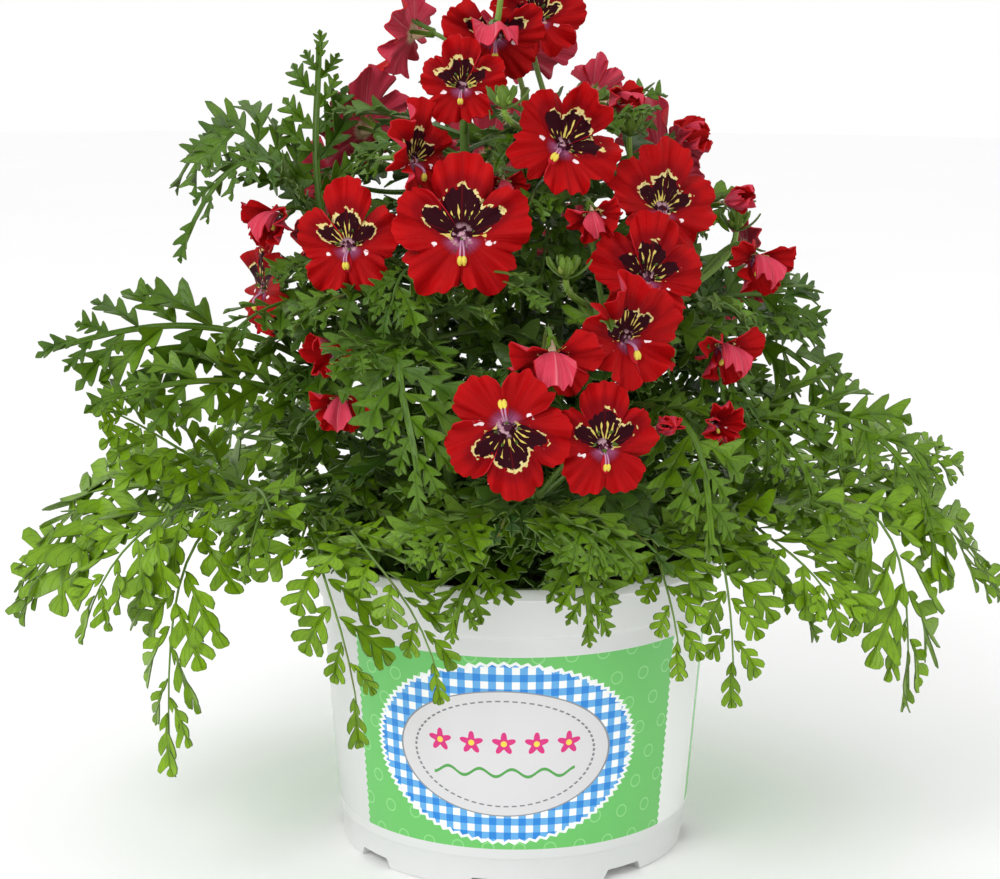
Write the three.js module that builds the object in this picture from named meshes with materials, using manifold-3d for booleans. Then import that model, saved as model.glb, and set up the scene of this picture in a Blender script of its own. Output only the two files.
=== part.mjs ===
// A potted butterfly flower: a dwarf schizanthus in a 12 cm thermoformed pot.
// Millimetres, +Z up. The origin is the middle of the pot's foot, and -Y is the front.
import * as THREE from "three";
import { mergeVertices } from "three/addons/utils/BufferGeometryUtils.js";
import Module from "manifold-3d";

const wasm = await Module();
wasm.setup();

// Driving dimensions of the pot
const RIM_RADIUS = 60;
const POT_HEIGHT = 88.5;
const FOOT_RADIUS = 50;
const WALL = 1.2;
const FLOOR = 1.4;
const FOOT_BAND_Z = 9.4;
const FOOT_BAND_STEP = 1.2;
const WALL_TAPER = 4.8;
const COLLAR_FOOT_Z = 73.5;
const COLLAR_STEP = 1.5;
const POT_SIDES = 28;
const NOTCHES = 8;
const NOTCH_WIDTH = 15;
const NOTCH_HEIGHT = 3;
const CHANNEL_REACH = 22;
const FIRST_NOTCH_DEG = -7;
const DRAIN_RADIUS = 4;
const DRAIN_REACH = 33;

// Driving dimensions of the soil and the plant
const SOIL_TOP = 79;
const SOIL_SIDES = 18;
const GAP = 0.3;
const STEM_FOOT_Z = 68;
const STEM_RADIUS = 2.2;
const STEM_TIP_RADIUS = 1.2;
const STALK_RADIUS = 0.75;
const CALYX_RADIUS = 1.7;
const BLADE = 0.7;
const PETAL = 0.7;
const BLOOM_RADIUS = 20;
const BLOOM_TUBE = 6;
const SHUT_LEAN = 24;
const OPEN_LEAN = 62;
const HOOD_FOLD = 75;
const BUD_CUP = 50;

const DEG = Math.PI / 180;
const UP = new THREE.Vector3(0, 0, 1);
const vec = (x, y, z) => new THREE.Vector3(x, y, z);

// A seeded draw between 0 and 1, the same on every run
let seed = 20;
function draw() {
  seed = (seed * 1664525 + 1013904223) % 4294967296;
  return seed / 4294967296;
}

// Solids and meshes

function solid(geometry) {
  const bare = geometry.clone();
  bare.deleteAttribute("normal");
  bare.deleteAttribute("uv");
  const merged = mergeVertices(bare, 1e-4);
  return new wasm.Manifold(
    new wasm.Mesh({
      numProp: 3,
      vertProperties: merged.attributes.position.array,
      triVerts: new Uint32Array(merged.index.array),
    }),
  );
}

function fromFaces(points, faces) {
  const geometry = new THREE.BufferGeometry();
  const flat = points.flatMap((p) => [p.x, p.y, p.z]);
  geometry.setAttribute("position", new THREE.Float32BufferAttribute(flat, 3));
  geometry.setIndex(faces.flat());
  return solid(geometry);
}

// A thin blade: each point goes half the thickness out along its normal on both sides,
// and both sides are split into the same triangles. The rim is the outline in order.
function sheet(points, normals, faces, rim, thickness) {
  const count = points.length;
  const upper = points.map((p, i) => p.clone().addScaledVector(normals[i], thickness / 2));
  const lower = points.map((p, i) => p.clone().addScaledVector(normals[i], -thickness / 2));
  const all = faces.map((f) => [f[0], f[1], f[2]]);
  for (const f of faces) all.push([f[2] + count, f[1] + count, f[0] + count]);
  rim.forEach((a, i) => {
    const b = rim[(i + 1) % rim.length];
    all.push([a, a + count, b]);
    all.push([b, a + count, b + count]);
  });
  return fromFaces([...upper, ...lower], all);
}

// A round rod along a curve, closed at both ends, whose radius follows a function of 0 to 1
function rod(curve, radiusAt, steps, sides) {
  const points = [];
  const faces = [];
  let side = vec(1, 0.13, 0.07);
  for (let i = 0; i <= steps; i++) {
    const t = i / steps;
    const along = curve.getTangent(t);
    side = side.addScaledVector(along, -side.dot(along)).normalize();
    const across = new THREE.Vector3().crossVectors(along, side);
    const centre = curve.getPoint(t);
    for (let k = 0; k < sides; k++) {
      const angle = (2 * Math.PI * k) / sides;
      const out = side.clone().multiplyScalar(Math.cos(angle));
      out.addScaledVector(across, Math.sin(angle));
      points.push(centre.clone().addScaledVector(out, radiusAt(t)));
    }
  }
  for (let i = 0; i < steps; i++)
    for (let k = 0; k < sides; k++) {
      const a = i * sides + k;
      const b = i * sides + ((k + 1) % sides);
      faces.push([a, b, b + sides]);
      faces.push([a, b + sides, a + sides]);
    }
  const last = steps * sides;
  for (let k = 1; k < sides - 1; k++) {
    faces.push([0, k + 1, k]);
    faces.push([last, last + k, last + k + 1]);
  }
  return fromFaces(points, faces);
}

function curveOf(a, b, c) {
  return new THREE.QuadraticBezierCurve3(a, b, c);
}

function joined(solids) {
  return solids.reduce((all, one) => all.add(one));
}

function largest(whole) {
  return whole.decompose().reduce((a, b) => (b.volume() > a.volume() ? b : a));
}

// The space round a solid that its neighbours keep out of: five copies of it, four moved a little
const NUDGES = [
  [0, 0, 0],
  [1, 1, 1],
  [1, -1, -1],
  [-1, 1, -1],
  [-1, -1, 1],
];
function grown(whole) {
  return joined(NUDGES.map(([x, y, z]) => whole.translate([x * GAP, y * GAP, z * GAP])));
}

const group = new THREE.Group();
const COLOURS = {
  pot: { color: 0xe9eaec, roughness: 0.32, metalness: 0 },
  soil: { color: 0x2a211b, roughness: 0.95, metalness: 0 },
  leaf: { color: 0x4a7d2a, roughness: 0.55, metalness: 0 },
  bloom: { color: 0xcd1014, roughness: 0.5, metalness: 0 },
  bud: { color: 0xb4304a, roughness: 0.5, metalness: 0 },
};

function addMesh(name, whole, look) {
  const data = whole.getMesh();
  const geometry = new THREE.BufferGeometry();
  const flat = [];
  for (let i = 0; i < data.numVert; i++) {
    const at = i * data.numProp;
    flat.push(...data.vertProperties.subarray(at, at + 3));
  }
  geometry.setAttribute("position", new THREE.Float32BufferAttribute(flat, 3));
  geometry.setIndex(new THREE.BufferAttribute(data.triVerts, 1));
  geometry.computeVertexNormals();
  const mesh = new THREE.Mesh(geometry, new THREE.MeshStandardMaterial(COLOURS[look]));
  mesh.name = name;
  group.add(mesh);
}

// The pot: one thermoformed shell with a rim band, a collar, a tapered wall and a ribbed floor

function turned(profile, sides) {
  const outline = profile.map(([r, z]) => new THREE.Vector2(r, z));
  return new THREE.LatheGeometry(outline, sides).rotateX(Math.PI / 2);
}

function potWall(z) {
  const share = (z - FOOT_BAND_Z) / (COLLAR_FOOT_Z - FOOT_BAND_Z);
  return FOOT_RADIUS + FOOT_BAND_STEP + WALL_TAPER * share;
}

function potShell() {
  const collarFoot = potWall(COLLAR_FOOT_Z);
  const profile = [
    [0, 0],
    [FOOT_RADIUS, 0],
    [FOOT_RADIUS + 0.7, FOOT_BAND_Z - 0.4],
    [potWall(FOOT_BAND_Z), FOOT_BAND_Z],
    [collarFoot, COLLAR_FOOT_Z],
    [collarFoot + COLLAR_STEP, COLLAR_FOOT_Z + 1.3],
    [RIM_RADIUS - 1, POT_HEIGHT - 3.6],
    [RIM_RADIUS, POT_HEIGHT - 3.2],
    [RIM_RADIUS, POT_HEIGHT],
    [RIM_RADIUS - 1 - WALL, POT_HEIGHT],
    [collarFoot + COLLAR_STEP - WALL, COLLAR_FOOT_Z + 1.7],
    [collarFoot - WALL, COLLAR_FOOT_Z + 0.4],
    [FOOT_RADIUS - WALL, FLOOR],
    [0, FLOOR],
  ];
  return solid(turned(profile, POT_SIDES));
}

// A drainage channel's trapezoid bar, which points out along -Y turned by the angle
function channelBar(angle, extraWidth, bottom, top, from, to) {
  const half = NOTCH_WIDTH / 2 + extraWidth;
  const shape = new THREE.Shape([
    new THREE.Vector2(-half, bottom),
    new THREE.Vector2(half, bottom),
    new THREE.Vector2(half - 2, top),
    new THREE.Vector2(-half + 2, top),
  ]);
  const bar = new THREE.ExtrudeGeometry(shape, { depth: to - from, bevelEnabled: false });
  bar.rotateX(Math.PI / 2).translate(0, -from, 0).rotateZ(angle);
  return solid(bar);
}

const channelAngles = [];
for (let i = 0; i < NOTCHES; i++)
  channelAngles.push((FIRST_NOTCH_DEG + (360 / NOTCHES) * i) * DEG);

function makePot() {
  const ridgeTop = NOTCH_HEIGHT + WALL;
  let pot = potShell();
  for (const angle of channelAngles)
    pot = pot.add(channelBar(angle, WALL, FLOOR / 2, ridgeTop, CHANNEL_REACH, FOOT_RADIUS - 0.7));
  for (const angle of channelAngles) {
    pot = pot.subtract(channelBar(angle, 0, -1, NOTCH_HEIGHT, CHANNEL_REACH + WALL, RIM_RADIUS));
    const drain = new THREE.CylinderGeometry(DRAIN_RADIUS, DRAIN_RADIUS, 12, 6);
    drain.rotateX(Math.PI / 2).translate(0, -DRAIN_REACH, 0).rotateZ(angle);
    pot = pot.subtract(solid(drain));
  }
  return pot;
}

// The stems: where each stands in the soil, where its tip is, and how far it bows out on the way.
// The low ones rise more steeply and carry fern leaves, whose leaflets have narrow roots.

const STEMS = [
  { foot: [-8, -7], tip: [-15, -14, 216], bow: [-6, -4] },
  { foot: [8, -6], tip: [9, -10, 212], bow: [6, -4] },
  { foot: [-15, -17], tip: [-26, -36, 172], bow: [-4, -8] },
  { foot: [13, -17], tip: [24, -40, 164], bow: [2, -8] },
  { foot: [24, -4], tip: [48, -18, 166], bow: [8, -2] },
  { foot: [1, -27], tip: [6, -66, 116], bow: [0, -10] },
  { foot: [-25, -3], tip: [-54, -10, 172], bow: [-8, 0] },
  { foot: [-13, 12], tip: [-30, 24, 196], bow: [-6, 8] },
  { foot: [3, 18], tip: [2, 20, 216], bow: [0, 10] },
  { foot: [19, 12], tip: [38, 24, 186], bow: [6, 8] },
  { foot: [-27, -20], tip: [-78, -30, 108], bow: [-12, -4], rise: 0.95, fern: true },
  { foot: [28, -20], tip: [76, -28, 106], bow: [12, -4], rise: 0.95, fern: true },
  { foot: [-24, 24], tip: [-66, 50, 112], bow: [-8, 8], rise: 0.95, fern: true },
  { foot: [24, 27], tip: [60, 58, 110], bow: [8, 8], rise: 0.95, fern: true },
];

function stemCurve(stem) {
  const [fx, fy] = stem.foot;
  const [tx, ty, tz] = stem.tip;
  const [bx, by] = stem.bow;
  const rise = stem.rise ?? 0.62;
  const middle = vec(fx + bx, fy + by, STEM_FOOT_Z + rise * (tz - STEM_FOOT_Z));
  return curveOf(vec(fx, fy, STEM_FOOT_Z), middle, vec(tx, ty, tz));
}

const stemCurves = STEMS.map(stemCurve);
const stemRadius = (t) => STEM_RADIUS + (STEM_TIP_RADIUS - STEM_RADIUS) * t;
const STEM_STEPS = 4;
const STEM_SIDES = 5;

// The blooms: stem, place on the stem, centre, the way each faces in degrees, its openness and size.
// The hood is how far the top petal is bent forward, from 0 to 1.

const BLOOMS = [
  { stem: 2, at: 0.97, c: [-14.6, -60, 184.5], az: 2, el: 10, roll: 0, open: 1, size: 0.94 },
  { stem: 2, at: 0.9, c: [-44.5, -46, 179.5], az: -18, el: 4, roll: -4, open: 0.92, size: 0.76 },
  { stem: 6, at: 0.98, c: [-70.2, -14, 163.6], az: -66, el: 0, roll: 0, open: 0.9, size: 0.76 },
  { stem: 0, at: 0.86, c: [-28, -45.5, 201.5], az: 60, el: 6, roll: 8, open: 0.75, size: 0.76 },
  { stem: 0, at: 0.95, c: [-28.5, 0, 233], az: -112, el: 12, roll: 0, open: 0.8, size: 0.78 },
  { stem: 0, at: 0.99, c: [-6.5, -22, 233], az: 4, el: -22, roll: 0, open: 0.8, size: 0.72, hood: 0.9 },
  { stem: 1, at: 0.98, c: [5, -5, 237], az: 14, el: 14, roll: 0, open: 0.9, size: 0.7 },
  { stem: 0, at: 0.9, c: [-15, -36, 220], az: -8, el: 6, roll: 0, open: 0.85, size: 0.6 },
  { stem: 1, at: 0.9, c: [12, -43, 205], az: 12, el: 22, roll: 38, open: 0.8, size: 0.8, hood: 0.5 },
  { stem: 4, at: 0.97, c: [38, -34, 188], az: 32, el: 14, roll: 14, open: 0.85, size: 0.86 },
  { stem: 3, at: 0.97, c: [33.5, -52, 172], az: 18, el: 12, roll: 12, open: 0.9, size: 0.78 },
  { stem: 3, at: 0.88, c: [26.5, -69, 158.5], az: 34, el: 8, roll: -6, open: 0.6, size: 0.84 },
  { stem: 5, at: 0.96, c: [-2.5, -91, 137], az: -4, el: 8, roll: 170, open: 0.95, size: 0.84 },
  { stem: 5, at: 0.99, c: [21.5, -84.5, 134], az: 12, el: 6, roll: 0, open: 0.95, size: 0.72 },
  { stem: 7, at: 0.98, c: [-43, 8, 206], az: -138, el: 14, roll: 0, open: 0.85, size: 0.8 },
  { stem: 7, at: 0.82, c: [-56, 40, 172], az: -125, el: 8, roll: 6, open: 0.85, size: 0.84 },
  { stem: 8, at: 0.98, c: [0, 26, 228], az: 178, el: 44, roll: 0, open: 0.95, size: 0.86 },
  { stem: 8, at: 0.8, c: [-8, 54, 194], az: -172, el: 10, roll: -8, open: 0.9, size: 0.9 },
  { stem: 9, at: 0.97, c: [42, 36, 196], az: 135, el: 14, roll: 0, open: 0.9, size: 0.86 },
  { stem: 8, at: 0.72, c: [20, 62, 162], az: 162, el: 6, roll: 8, open: 0.85, size: 0.84 },
  { stem: 9, at: 0.86, c: [66, 22, 168], az: 100, el: 8, roll: 0, open: 0.85, size: 0.8 },
];

// Half-open blooms and buds: as above, with the rosy backs of their petals to the outside

const BUDS = [
  { stem: 5, at: 0.84, c: [8.5, -81, 156], az: 4, el: -30, roll: 0, open: 0.6, size: 0.66, hood: 0.9 },
  { stem: 4, at: 0.84, c: [54, -42, 152], az: 26, el: -26, roll: 12, open: 0.5, size: 0.62, hood: 0.85 },
  { stem: 4, at: 0.93, c: [65, -20, 173], az: 24, el: -24, roll: 8, open: 0.5, size: 0.62, hood: 0.85 },
  { stem: 6, at: 0.72, c: [-46.1, -52, 139], az: -8, el: -30, roll: 4, open: 0.45, size: 0.54, hood: 0.85 },
  { stem: 6, at: 0.78, c: [-47, -50, 151], az: -26, el: -8, roll: 0, open: 0.35, size: 0.54, hood: 0.3 },
  { stem: 4, at: 0.78, c: [51, -54, 133], az: 24, el: 0, roll: 0, open: 0.3, size: 0.5, hood: 0 },
  { stem: 5, at: 0.9, c: [35.5, -72, 135], az: 30, el: 10, roll: 0, open: 0.1, size: 0.44, hood: 0 },
  { stem: 2, at: 0.94, c: [-4, -42, 195], az: 6, el: -24, roll: 0, open: 0.4, size: 0.42, hood: 0.8 },
  { stem: 3, at: 0.94, c: [19, -52, 188], az: 10, el: -28, roll: -16, open: 0.45, size: 0.44, hood: 0.8 },
  { stem: 1, at: 0.94, c: [24.5, -14, 214], az: 50, el: 6, roll: 0, open: 0.3, size: 0.56, hood: 0.5 },
  { stem: 4, at: 0.98, c: [43.1, -8, 202], az: 60, el: 30, roll: 0, open: 0.3, size: 0.6, hood: 0.4 },
  { stem: 4, at: 0.95, c: [56, -16, 187], az: 60, el: 14, roll: 0, open: 0.15, size: 0.5, hood: 0 },
  { stem: 6, at: 0.95, c: [-64, -24, 184], az: -34, el: -12, roll: 0, open: 0.35, size: 0.62, hood: 0.7 },
  { stem: 9, at: 0.9, c: [56, 42, 152], az: 128, el: -4, roll: 0, open: 0.35, size: 0.7, hood: 0.5 },
  { stem: 7, at: 0.9, c: [-52, 16, 190], az: -112, el: 18, roll: 0, open: 0.3, size: 0.66, hood: 0 },
  { stem: 8, at: 0.9, c: [22, 34, 214], az: 150, el: 30, roll: 0, open: 0.3, size: 0.6, hood: 0 },
];

// Tight green heads of buds and bracts at the ends of some stalks

const HEADS = [
  { stem: 0, at: 0.99, c: [-5, -13, 244] },
  { stem: 1, at: 0.93, c: [-4, -51, 214] },
  { stem: 4, at: 0.97, c: [30, -20, 205] },
  { stem: 4, at: 0.96, c: [61, -8, 178] },
  { stem: 3, at: 0.95, c: [12, -66, 172] },
];

// The leaves: stem, place on it, tip, and the control point's reach and lift from the leaf's foot.
// The turn is about the rib in degrees, and half is the longest leaflet.

const LEAVES = [
  { stem: 6, at: 0.94, tip: [-57, -4, 231], reach: 0.6, lift: 36, turn: -50, half: 14 },
  { stem: 6, at: 0.97, tip: [-95, -2, 188], reach: 0.5, lift: 62, turn: -35, half: 20 },
  { stem: 6, at: 0.86, tip: [-88, -30, 172], reach: 0.55, lift: 72, turn: -20, half: 15 },
  { stem: 6, at: 0.46, pairs: 5, tip: [-129, -32, 151], reach: 0.54, lift: 38, turn: -55, half: 23 },
  { stem: 6, at: 0.36, tip: [-113, -50, 138], reach: 0.5, lift: 36, turn: -45, half: 20 },
  { stem: 10, at: 0.92, tip: [-112, -44, 132], reach: 0.6, lift: 22, turn: -50, half: 19 },
  { stem: 10, at: 0.98, pairs: 5, tip: [-141, -26, 76], reach: 0.6, lift: 10, turn: -25, half: 23 },
  { stem: 10, at: 0.86, tip: [-116, -50, 72], reach: 0.8, lift: 8, turn: -30, half: 21 },
  { stem: 10, at: 0.74, pairs: 5, tip: [-95, -58, 38], reach: 1, lift: 12, turn: -15, half: 22 },
  { stem: 10, at: 0.58, tip: [-46, -77, 52], reach: 1, lift: 20, turn: 0, half: 17 },
  { stem: 10, at: 0.46, tip: [-27, -79, 64], reach: 0.9, lift: 24, turn: 0, half: 15 },
  { stem: 2, at: 0.8, tip: [-28, -92, 118], reach: 0.9, lift: 6, turn: 5, half: 20 },
  { stem: 2, at: 0.7, tip: [-42, -80, 150], reach: 0.6, lift: 14, turn: -15, half: 16 },
  { stem: 5, at: 0.92, tip: [20, -92, 102], reach: 0.8, lift: 6, turn: 8, half: 17 },
  { stem: 5, at: 0.8, tip: [-24, -90, 104], reach: 0.8, lift: 8, turn: -8, half: 17 },
  { stem: 5, at: 0.6, pairs: 3, tip: [20, -78, 80], reach: 0.9, lift: 8, turn: 8, half: 15 },
  { stem: 5, at: 0.5, pairs: 3, tip: [-16, -76, 80], reach: 0.9, lift: 8, turn: -5, half: 15 },
  { stem: 11, at: 0.6, tip: [56, -72, 62], reach: 1, lift: 18, turn: 5, half: 17 },
  { stem: 11, at: 0.47, tip: [38, -80, 72], reach: 0.9, lift: 24, turn: 0, half: 15 },
  { stem: 11, at: 0.98, pairs: 5, tip: [140, -14, 74], reach: 0.6, lift: 10, turn: 28, half: 23 },
  { stem: 11, at: 0.9, tip: [112, -48, 56], reach: 0.85, lift: 8, turn: 25, half: 22 },
  { stem: 11, at: 0.76, tip: [82, -60, 76], reach: 0.8, lift: 8, turn: 15, half: 18 },
  { stem: 11, at: 0.94, tip: [130, 6, 108], reach: 0.6, lift: 18, turn: 40, half: 19 },
  { stem: 4, at: 0.8, tip: [86, -6, 152], reach: 0.6, lift: 18, turn: 50, half: 17 },
  { stem: 4, at: 0.6, tip: [98, 2, 118], reach: 0.7, lift: 26, turn: 55, half: 19 },
  { stem: 4, at: 0.5, tip: [82, -44, 110], reach: 0.8, lift: 16, turn: 25, half: 19 },
  { stem: 4, at: 0.5, tip: [113, -32, 98], reach: 0.8, lift: 32, turn: 40, half: 19 },
  { stem: 3, at: 0.6, tip: [54, -78, 104], reach: 0.8, lift: 14, turn: 15, half: 18 },
];

// Leaves that the list leaves out, by one rule for each stem: they fan out away from the pot's middle
const MORE_LEAVES = [
  { stem: 0, aim: 170, count: 2, from: 0.5, to: 0.72, spread: 40, length: 50, half: 17, sink: 8, lift: 12 },
  { stem: 1, aim: 10, count: 3, from: 0.4, to: 0.78, spread: 50, length: 50, half: 17, sink: 8, lift: 12 },
  { stem: 7, count: 4, from: 0.2, to: 0.7, spread: 46, length: 74, half: 19, sink: 30, lift: 8 },
  { stem: 8, count: 4, from: 0.2, to: 0.7, spread: 40, length: 70, half: 19, sink: 30, lift: 8 },
  { stem: 9, count: 4, from: 0.2, to: 0.7, spread: 46, length: 74, half: 19, sink: 30, lift: 8 },
  { stem: 12, count: 4, from: 0.5, to: 0.95, spread: 56, length: 74, half: 21, sink: 40, lift: 16 },
  { stem: 13, count: 4, from: 0.5, to: 0.95, spread: 62, length: 74, half: 21, sink: 40, lift: 16 },
];

function ruledLeaves(rule) {
  const curve = stemCurves[rule.stem];
  const tip = curve.getPoint(1);
  const outward = rule.aim ?? Math.atan2(tip.y, tip.x) / DEG;
  const made = [];
  for (let i = 0; i < rule.count; i++) {
    const share = i / (rule.count - 1);
    const at = rule.from + (rule.to - rule.from) * share;
    const swing = (i % 2 ? 1 : -1) * rule.spread * (1 - 0.55 * share) + 12 * (draw() - 0.5);
    const angle = (outward + swing) * DEG;
    const length = rule.length * (1 - 0.18 * share) * (0.92 + 0.16 * draw());
    const foot = curve.getPoint(at);
    const fall = rule.sink * (0.7 + 0.6 * draw());
    made.push({
      stem: rule.stem,
      at,
      tip: [foot.x + length * Math.cos(angle), foot.y + length * Math.sin(angle), foot.z - fall],
      reach: 0.6,
      lift: rule.lift,
      turn: 16 * (draw() - 0.5),
      half: rule.half,
    });
  }
  return made;
}

const allLeaves = [...LEAVES, ...MORE_LEAVES.flatMap(ruledLeaves)];

// One leaf: leaflets in pairs, cut to the rib, in one thin blade that arches along its rib
const PAIRS = 4;
const RIB_HALF = 0.7;
const PETIOLE = 0.2;
const DROOP = 0.12;

// What a leaflet that would touch a neighbour tries in turn: its tip's lift in mm, and its size
const BENDS = [
  [0, 1],
  [3, 1],
  [-3, 1],
  [6, 0.9],
  [-6, 0.9],
  [3, 0.66],
  [-3, 0.66],
  [0, 0.42],
  [0, 0.2],
];

function ribOf(leaf) {
  const foot = stemCurves[leaf.stem].getPoint(leaf.at);
  const tip = vec(...leaf.tip);
  const knee = vec(tip.x, tip.y, foot.z).lerp(foot, 1 - leaf.reach);
  knee.z += leaf.lift;
  return curveOf(foot, knee, tip);
}

function leafSolid(leaf, bends) {
  const rib = ribOf(leaf);
  const length = rib.getLength();
  const level = vec(rib.v2.x - rib.v0.x, rib.v2.y - rib.v0.y, 0).normalize();
  const left = new THREE.Vector3().crossVectors(UP, level);
  const turn = leaf.turn * DEG;
  const points = [];
  const normals = [];
  const place = (along, across, lift = 0) => {
    const t = Math.min(1, Math.max(0, along / length));
    const tangent = rib.getTangent(t);
    const normal = new THREE.Vector3().crossVectors(tangent, left);
    const side = left.clone().multiplyScalar(Math.cos(turn)).addScaledVector(normal, Math.sin(turn));
    normal.multiplyScalar(Math.cos(turn)).addScaledVector(left, -Math.sin(turn));
    const point = rib.getPoint(t).addScaledVector(tangent, along - t * length);
    point.addScaledVector(side, across);
    point.addScaledVector(normal, lift - (DROOP * across * across) / leaf.half);
    points.push(point);
    normals.push(normal);
    return points.length - 1;
  };
  const rightNodes = [place(0, -RIB_HALF)];
  const leftNodes = [place(0, RIB_HALF)];
  const rightRim = [...rightNodes];
  const leftRim = [...leftNodes];
  const faces = [];
  const middles = [];
  const pairs = leaf.pairs ?? PAIRS;
  const fern = STEMS[leaf.stem].fern;
  const spacing = (length * (1 - PETIOLE)) / (pairs + 0.6);
  for (let i = 0; i < pairs; i++) {
    const share = (i + 0.5) / pairs;
    const swell = 0.62 + 0.38 * Math.sin(Math.PI * Math.min(1, share * 1.05));
    const start = length * PETIOLE + i * spacing;
    const root = spacing * (fern ? 0.4 : 0.78);
    for (const way of [-1, 1]) {
      const [lift, shrink] = BENDS[bends[middles.length]];
      const size = leaf.half * swell * (1 - 0.35 * share * share) * shrink;
      const rear = place(start, way * RIB_HALF);
      const fore = place(start + root, way * RIB_HALF);
      const outer = [
        place(start + (fern ? 0.02 : 0.2) * size, way * size * 0.68, 0.68 * lift),
        place(start + (fern ? 0.55 : 0.74) * size, way * size * 0.92, lift),
      ];
      const leaflet = [rear, ...outer, fore];
      middles.push(points[outer[0]]);
      for (let k = 1; k < leaflet.length - 1; k++) {
        const face = [leaflet[k], leaflet[k + 1], leaflet[0]];
        faces.push(way < 0 ? face : face.reverse());
      }
      (way < 0 ? rightRim : leftRim).push(...leaflet);
      (way < 0 ? rightNodes : leftNodes).push(rear, fore);
    }
  }
  for (let i = 0; i < rightNodes.length - 1; i++) {
    faces.push([rightNodes[i], rightNodes[i + 1], leftNodes[i + 1]]);
    faces.push([rightNodes[i], leftNodes[i + 1], leftNodes[i]]);
  }
  const endSize = leaf.half * 0.34;
  const endRight = place(length - endSize * 1.2, -endSize * 0.55);
  const end = place(length, 0);
  const endLeft = place(length - endSize * 1.2, endSize * 0.55);
  faces.push([rightNodes.at(-1), endRight, end]);
  faces.push([rightNodes.at(-1), end, endLeft]);
  faces.push([rightNodes.at(-1), endLeft, leftNodes.at(-1)]);
  const rim = [...rightRim, endRight, end, endLeft, ...leftRim.reverse()];
  return { whole: sheet(points, normals, faces, rim, BLADE), middles };
}

// The way a bloom faces, its own up and its right, from its angles
function facing(piece) {
  const az = piece.az * DEG;
  const el = piece.el * DEG;
  const front = vec(Math.sin(az) * Math.cos(el), -Math.cos(az) * Math.cos(el), Math.sin(el));
  const right = new THREE.Vector3().crossVectors(UP, front).normalize();
  const up = new THREE.Vector3().crossVectors(front, right);
  const roll = (piece.roll ?? 0) * DEG;
  const turnedUp = up.clone().multiplyScalar(Math.cos(roll)).addScaledVector(right, Math.sin(roll));
  const turnedRight = new THREE.Vector3().crossVectors(turnedUp, front);
  return { front, up: turnedUp, right: turnedRight, centre: vec(...piece.c) };
}

function stalkEnd(piece) {
  const { front, centre } = facing(piece);
  return centre.addScaledVector(front, -(BLOOM_TUBE * piece.size + GAP));
}

// The petals round the throat, clockwise from the top: middle and half width in degrees, and reach
const PETALS = [
  { middle: 0, half: 35, reach: 1.02, back: 4 },
  { middle: 76, half: 37, reach: 1, back: 8 },
  { middle: 146, half: 29, reach: 0.98, back: -4 },
  { middle: 214, half: 29, reach: 0.98, back: -4 },
  { middle: 284, half: 37, reach: 1, back: 8 },
];

// Each petal is a fan from a point beside the throat. Behind the throat the sheet runs back to
// the foot of the bloom's tube. A more open bloom has its petals further from straight ahead, and
// the petals of a bud cup together towards their tips.
const THROAT = 0.12;
function bloomSolid(piece, rimPoints) {
  const { front, up, right, centre } = facing(piece);
  const radius = BLOOM_RADIUS * piece.size;
  const points = [];
  const normals = [];
  const cup = BUD_CUP * Math.max(0, 0.6 - piece.open);
  const place = (reach, degrees, petal) => {
    const bend = petal.back * reach - cup * reach * reach;
    const lean = (SHUT_LEAN + OPEN_LEAN * piece.open + bend) * DEG;
    const out = up.clone().multiplyScalar(Math.cos(degrees * DEG));
    out.addScaledVector(right, Math.sin(degrees * DEG));
    const point = out.clone().multiplyScalar(reach * radius * Math.sin(lean));
    point.addScaledVector(front, reach * radius * Math.cos(lean) * (1 - 0.3 * reach * piece.open));
    const normal = front.clone().multiplyScalar(Math.sin(lean));
    normal.addScaledVector(out, -Math.cos(lean)).normalize();
    const fold = petal.middle === 0 ? HOOD_FOLD * (piece.hood ?? 0) * reach * DEG : 0;
    points.push(point.applyAxisAngle(right, fold).add(centre));
    normals.push(normal.applyAxisAngle(right, fold));
    return points.length - 1;
  };
  const hearts = PETALS.map((petal) => place(THROAT, petal.middle, petal));
  const outlines = PETALS.map((petal) => {
    const outline = rimPoints > 2 ? [place(0.4, petal.middle - petal.half - 0.6, petal)] : [];
    for (let k = 0; k < rimPoints; k++) {
      const share = (2 * k) / (rimPoints - 1) - 1;
      const angle = petal.middle + share * petal.half * 0.84;
      outline.push(place(petal.reach * (1 - 0.12 * share ** 4), angle, petal));
    }
    return outline;
  });
  const middle = place(0, 0, PETALS[0]);
  const half = BLOOM_TUBE * piece.size * 0.5;
  points[middle].addScaledVector(front, -half);
  normals[middle] = front.clone().multiplyScalar((2 * half) / PETAL);
  const faces = [];
  outlines.forEach((outline, i) => {
    const next = (i + 1) % outlines.length;
    const edge = [...outline, outlines[next][0]];
    for (let k = 0; k < edge.length - 1; k++) faces.push([hearts[i], edge[k + 1], edge[k]]);
    faces.push([hearts[i], hearts[next], edge.at(-1)]);
    faces.push([middle, hearts[next], hearts[i]]);
  });
  return sheet(points, normals, faces, outlines.flat().reverse(), PETAL);
}

// A stalk from the stem to a bloom, bud or head, which ends in a wider calyx
function stalkSolid(piece, end, front) {
  const from = stemCurves[piece.stem].getPoint(piece.at);
  const reach = from.distanceTo(end);
  const knee = end.clone().addScaledVector(front, -0.45 * reach);
  const calyx = (t) => (t < 0.99 ? STALK_RADIUS : CALYX_RADIUS * Math.min(1, piece.size + 0.25));
  return rod(curveOf(from, knee, end), calyx, 3, 3);
}

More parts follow.
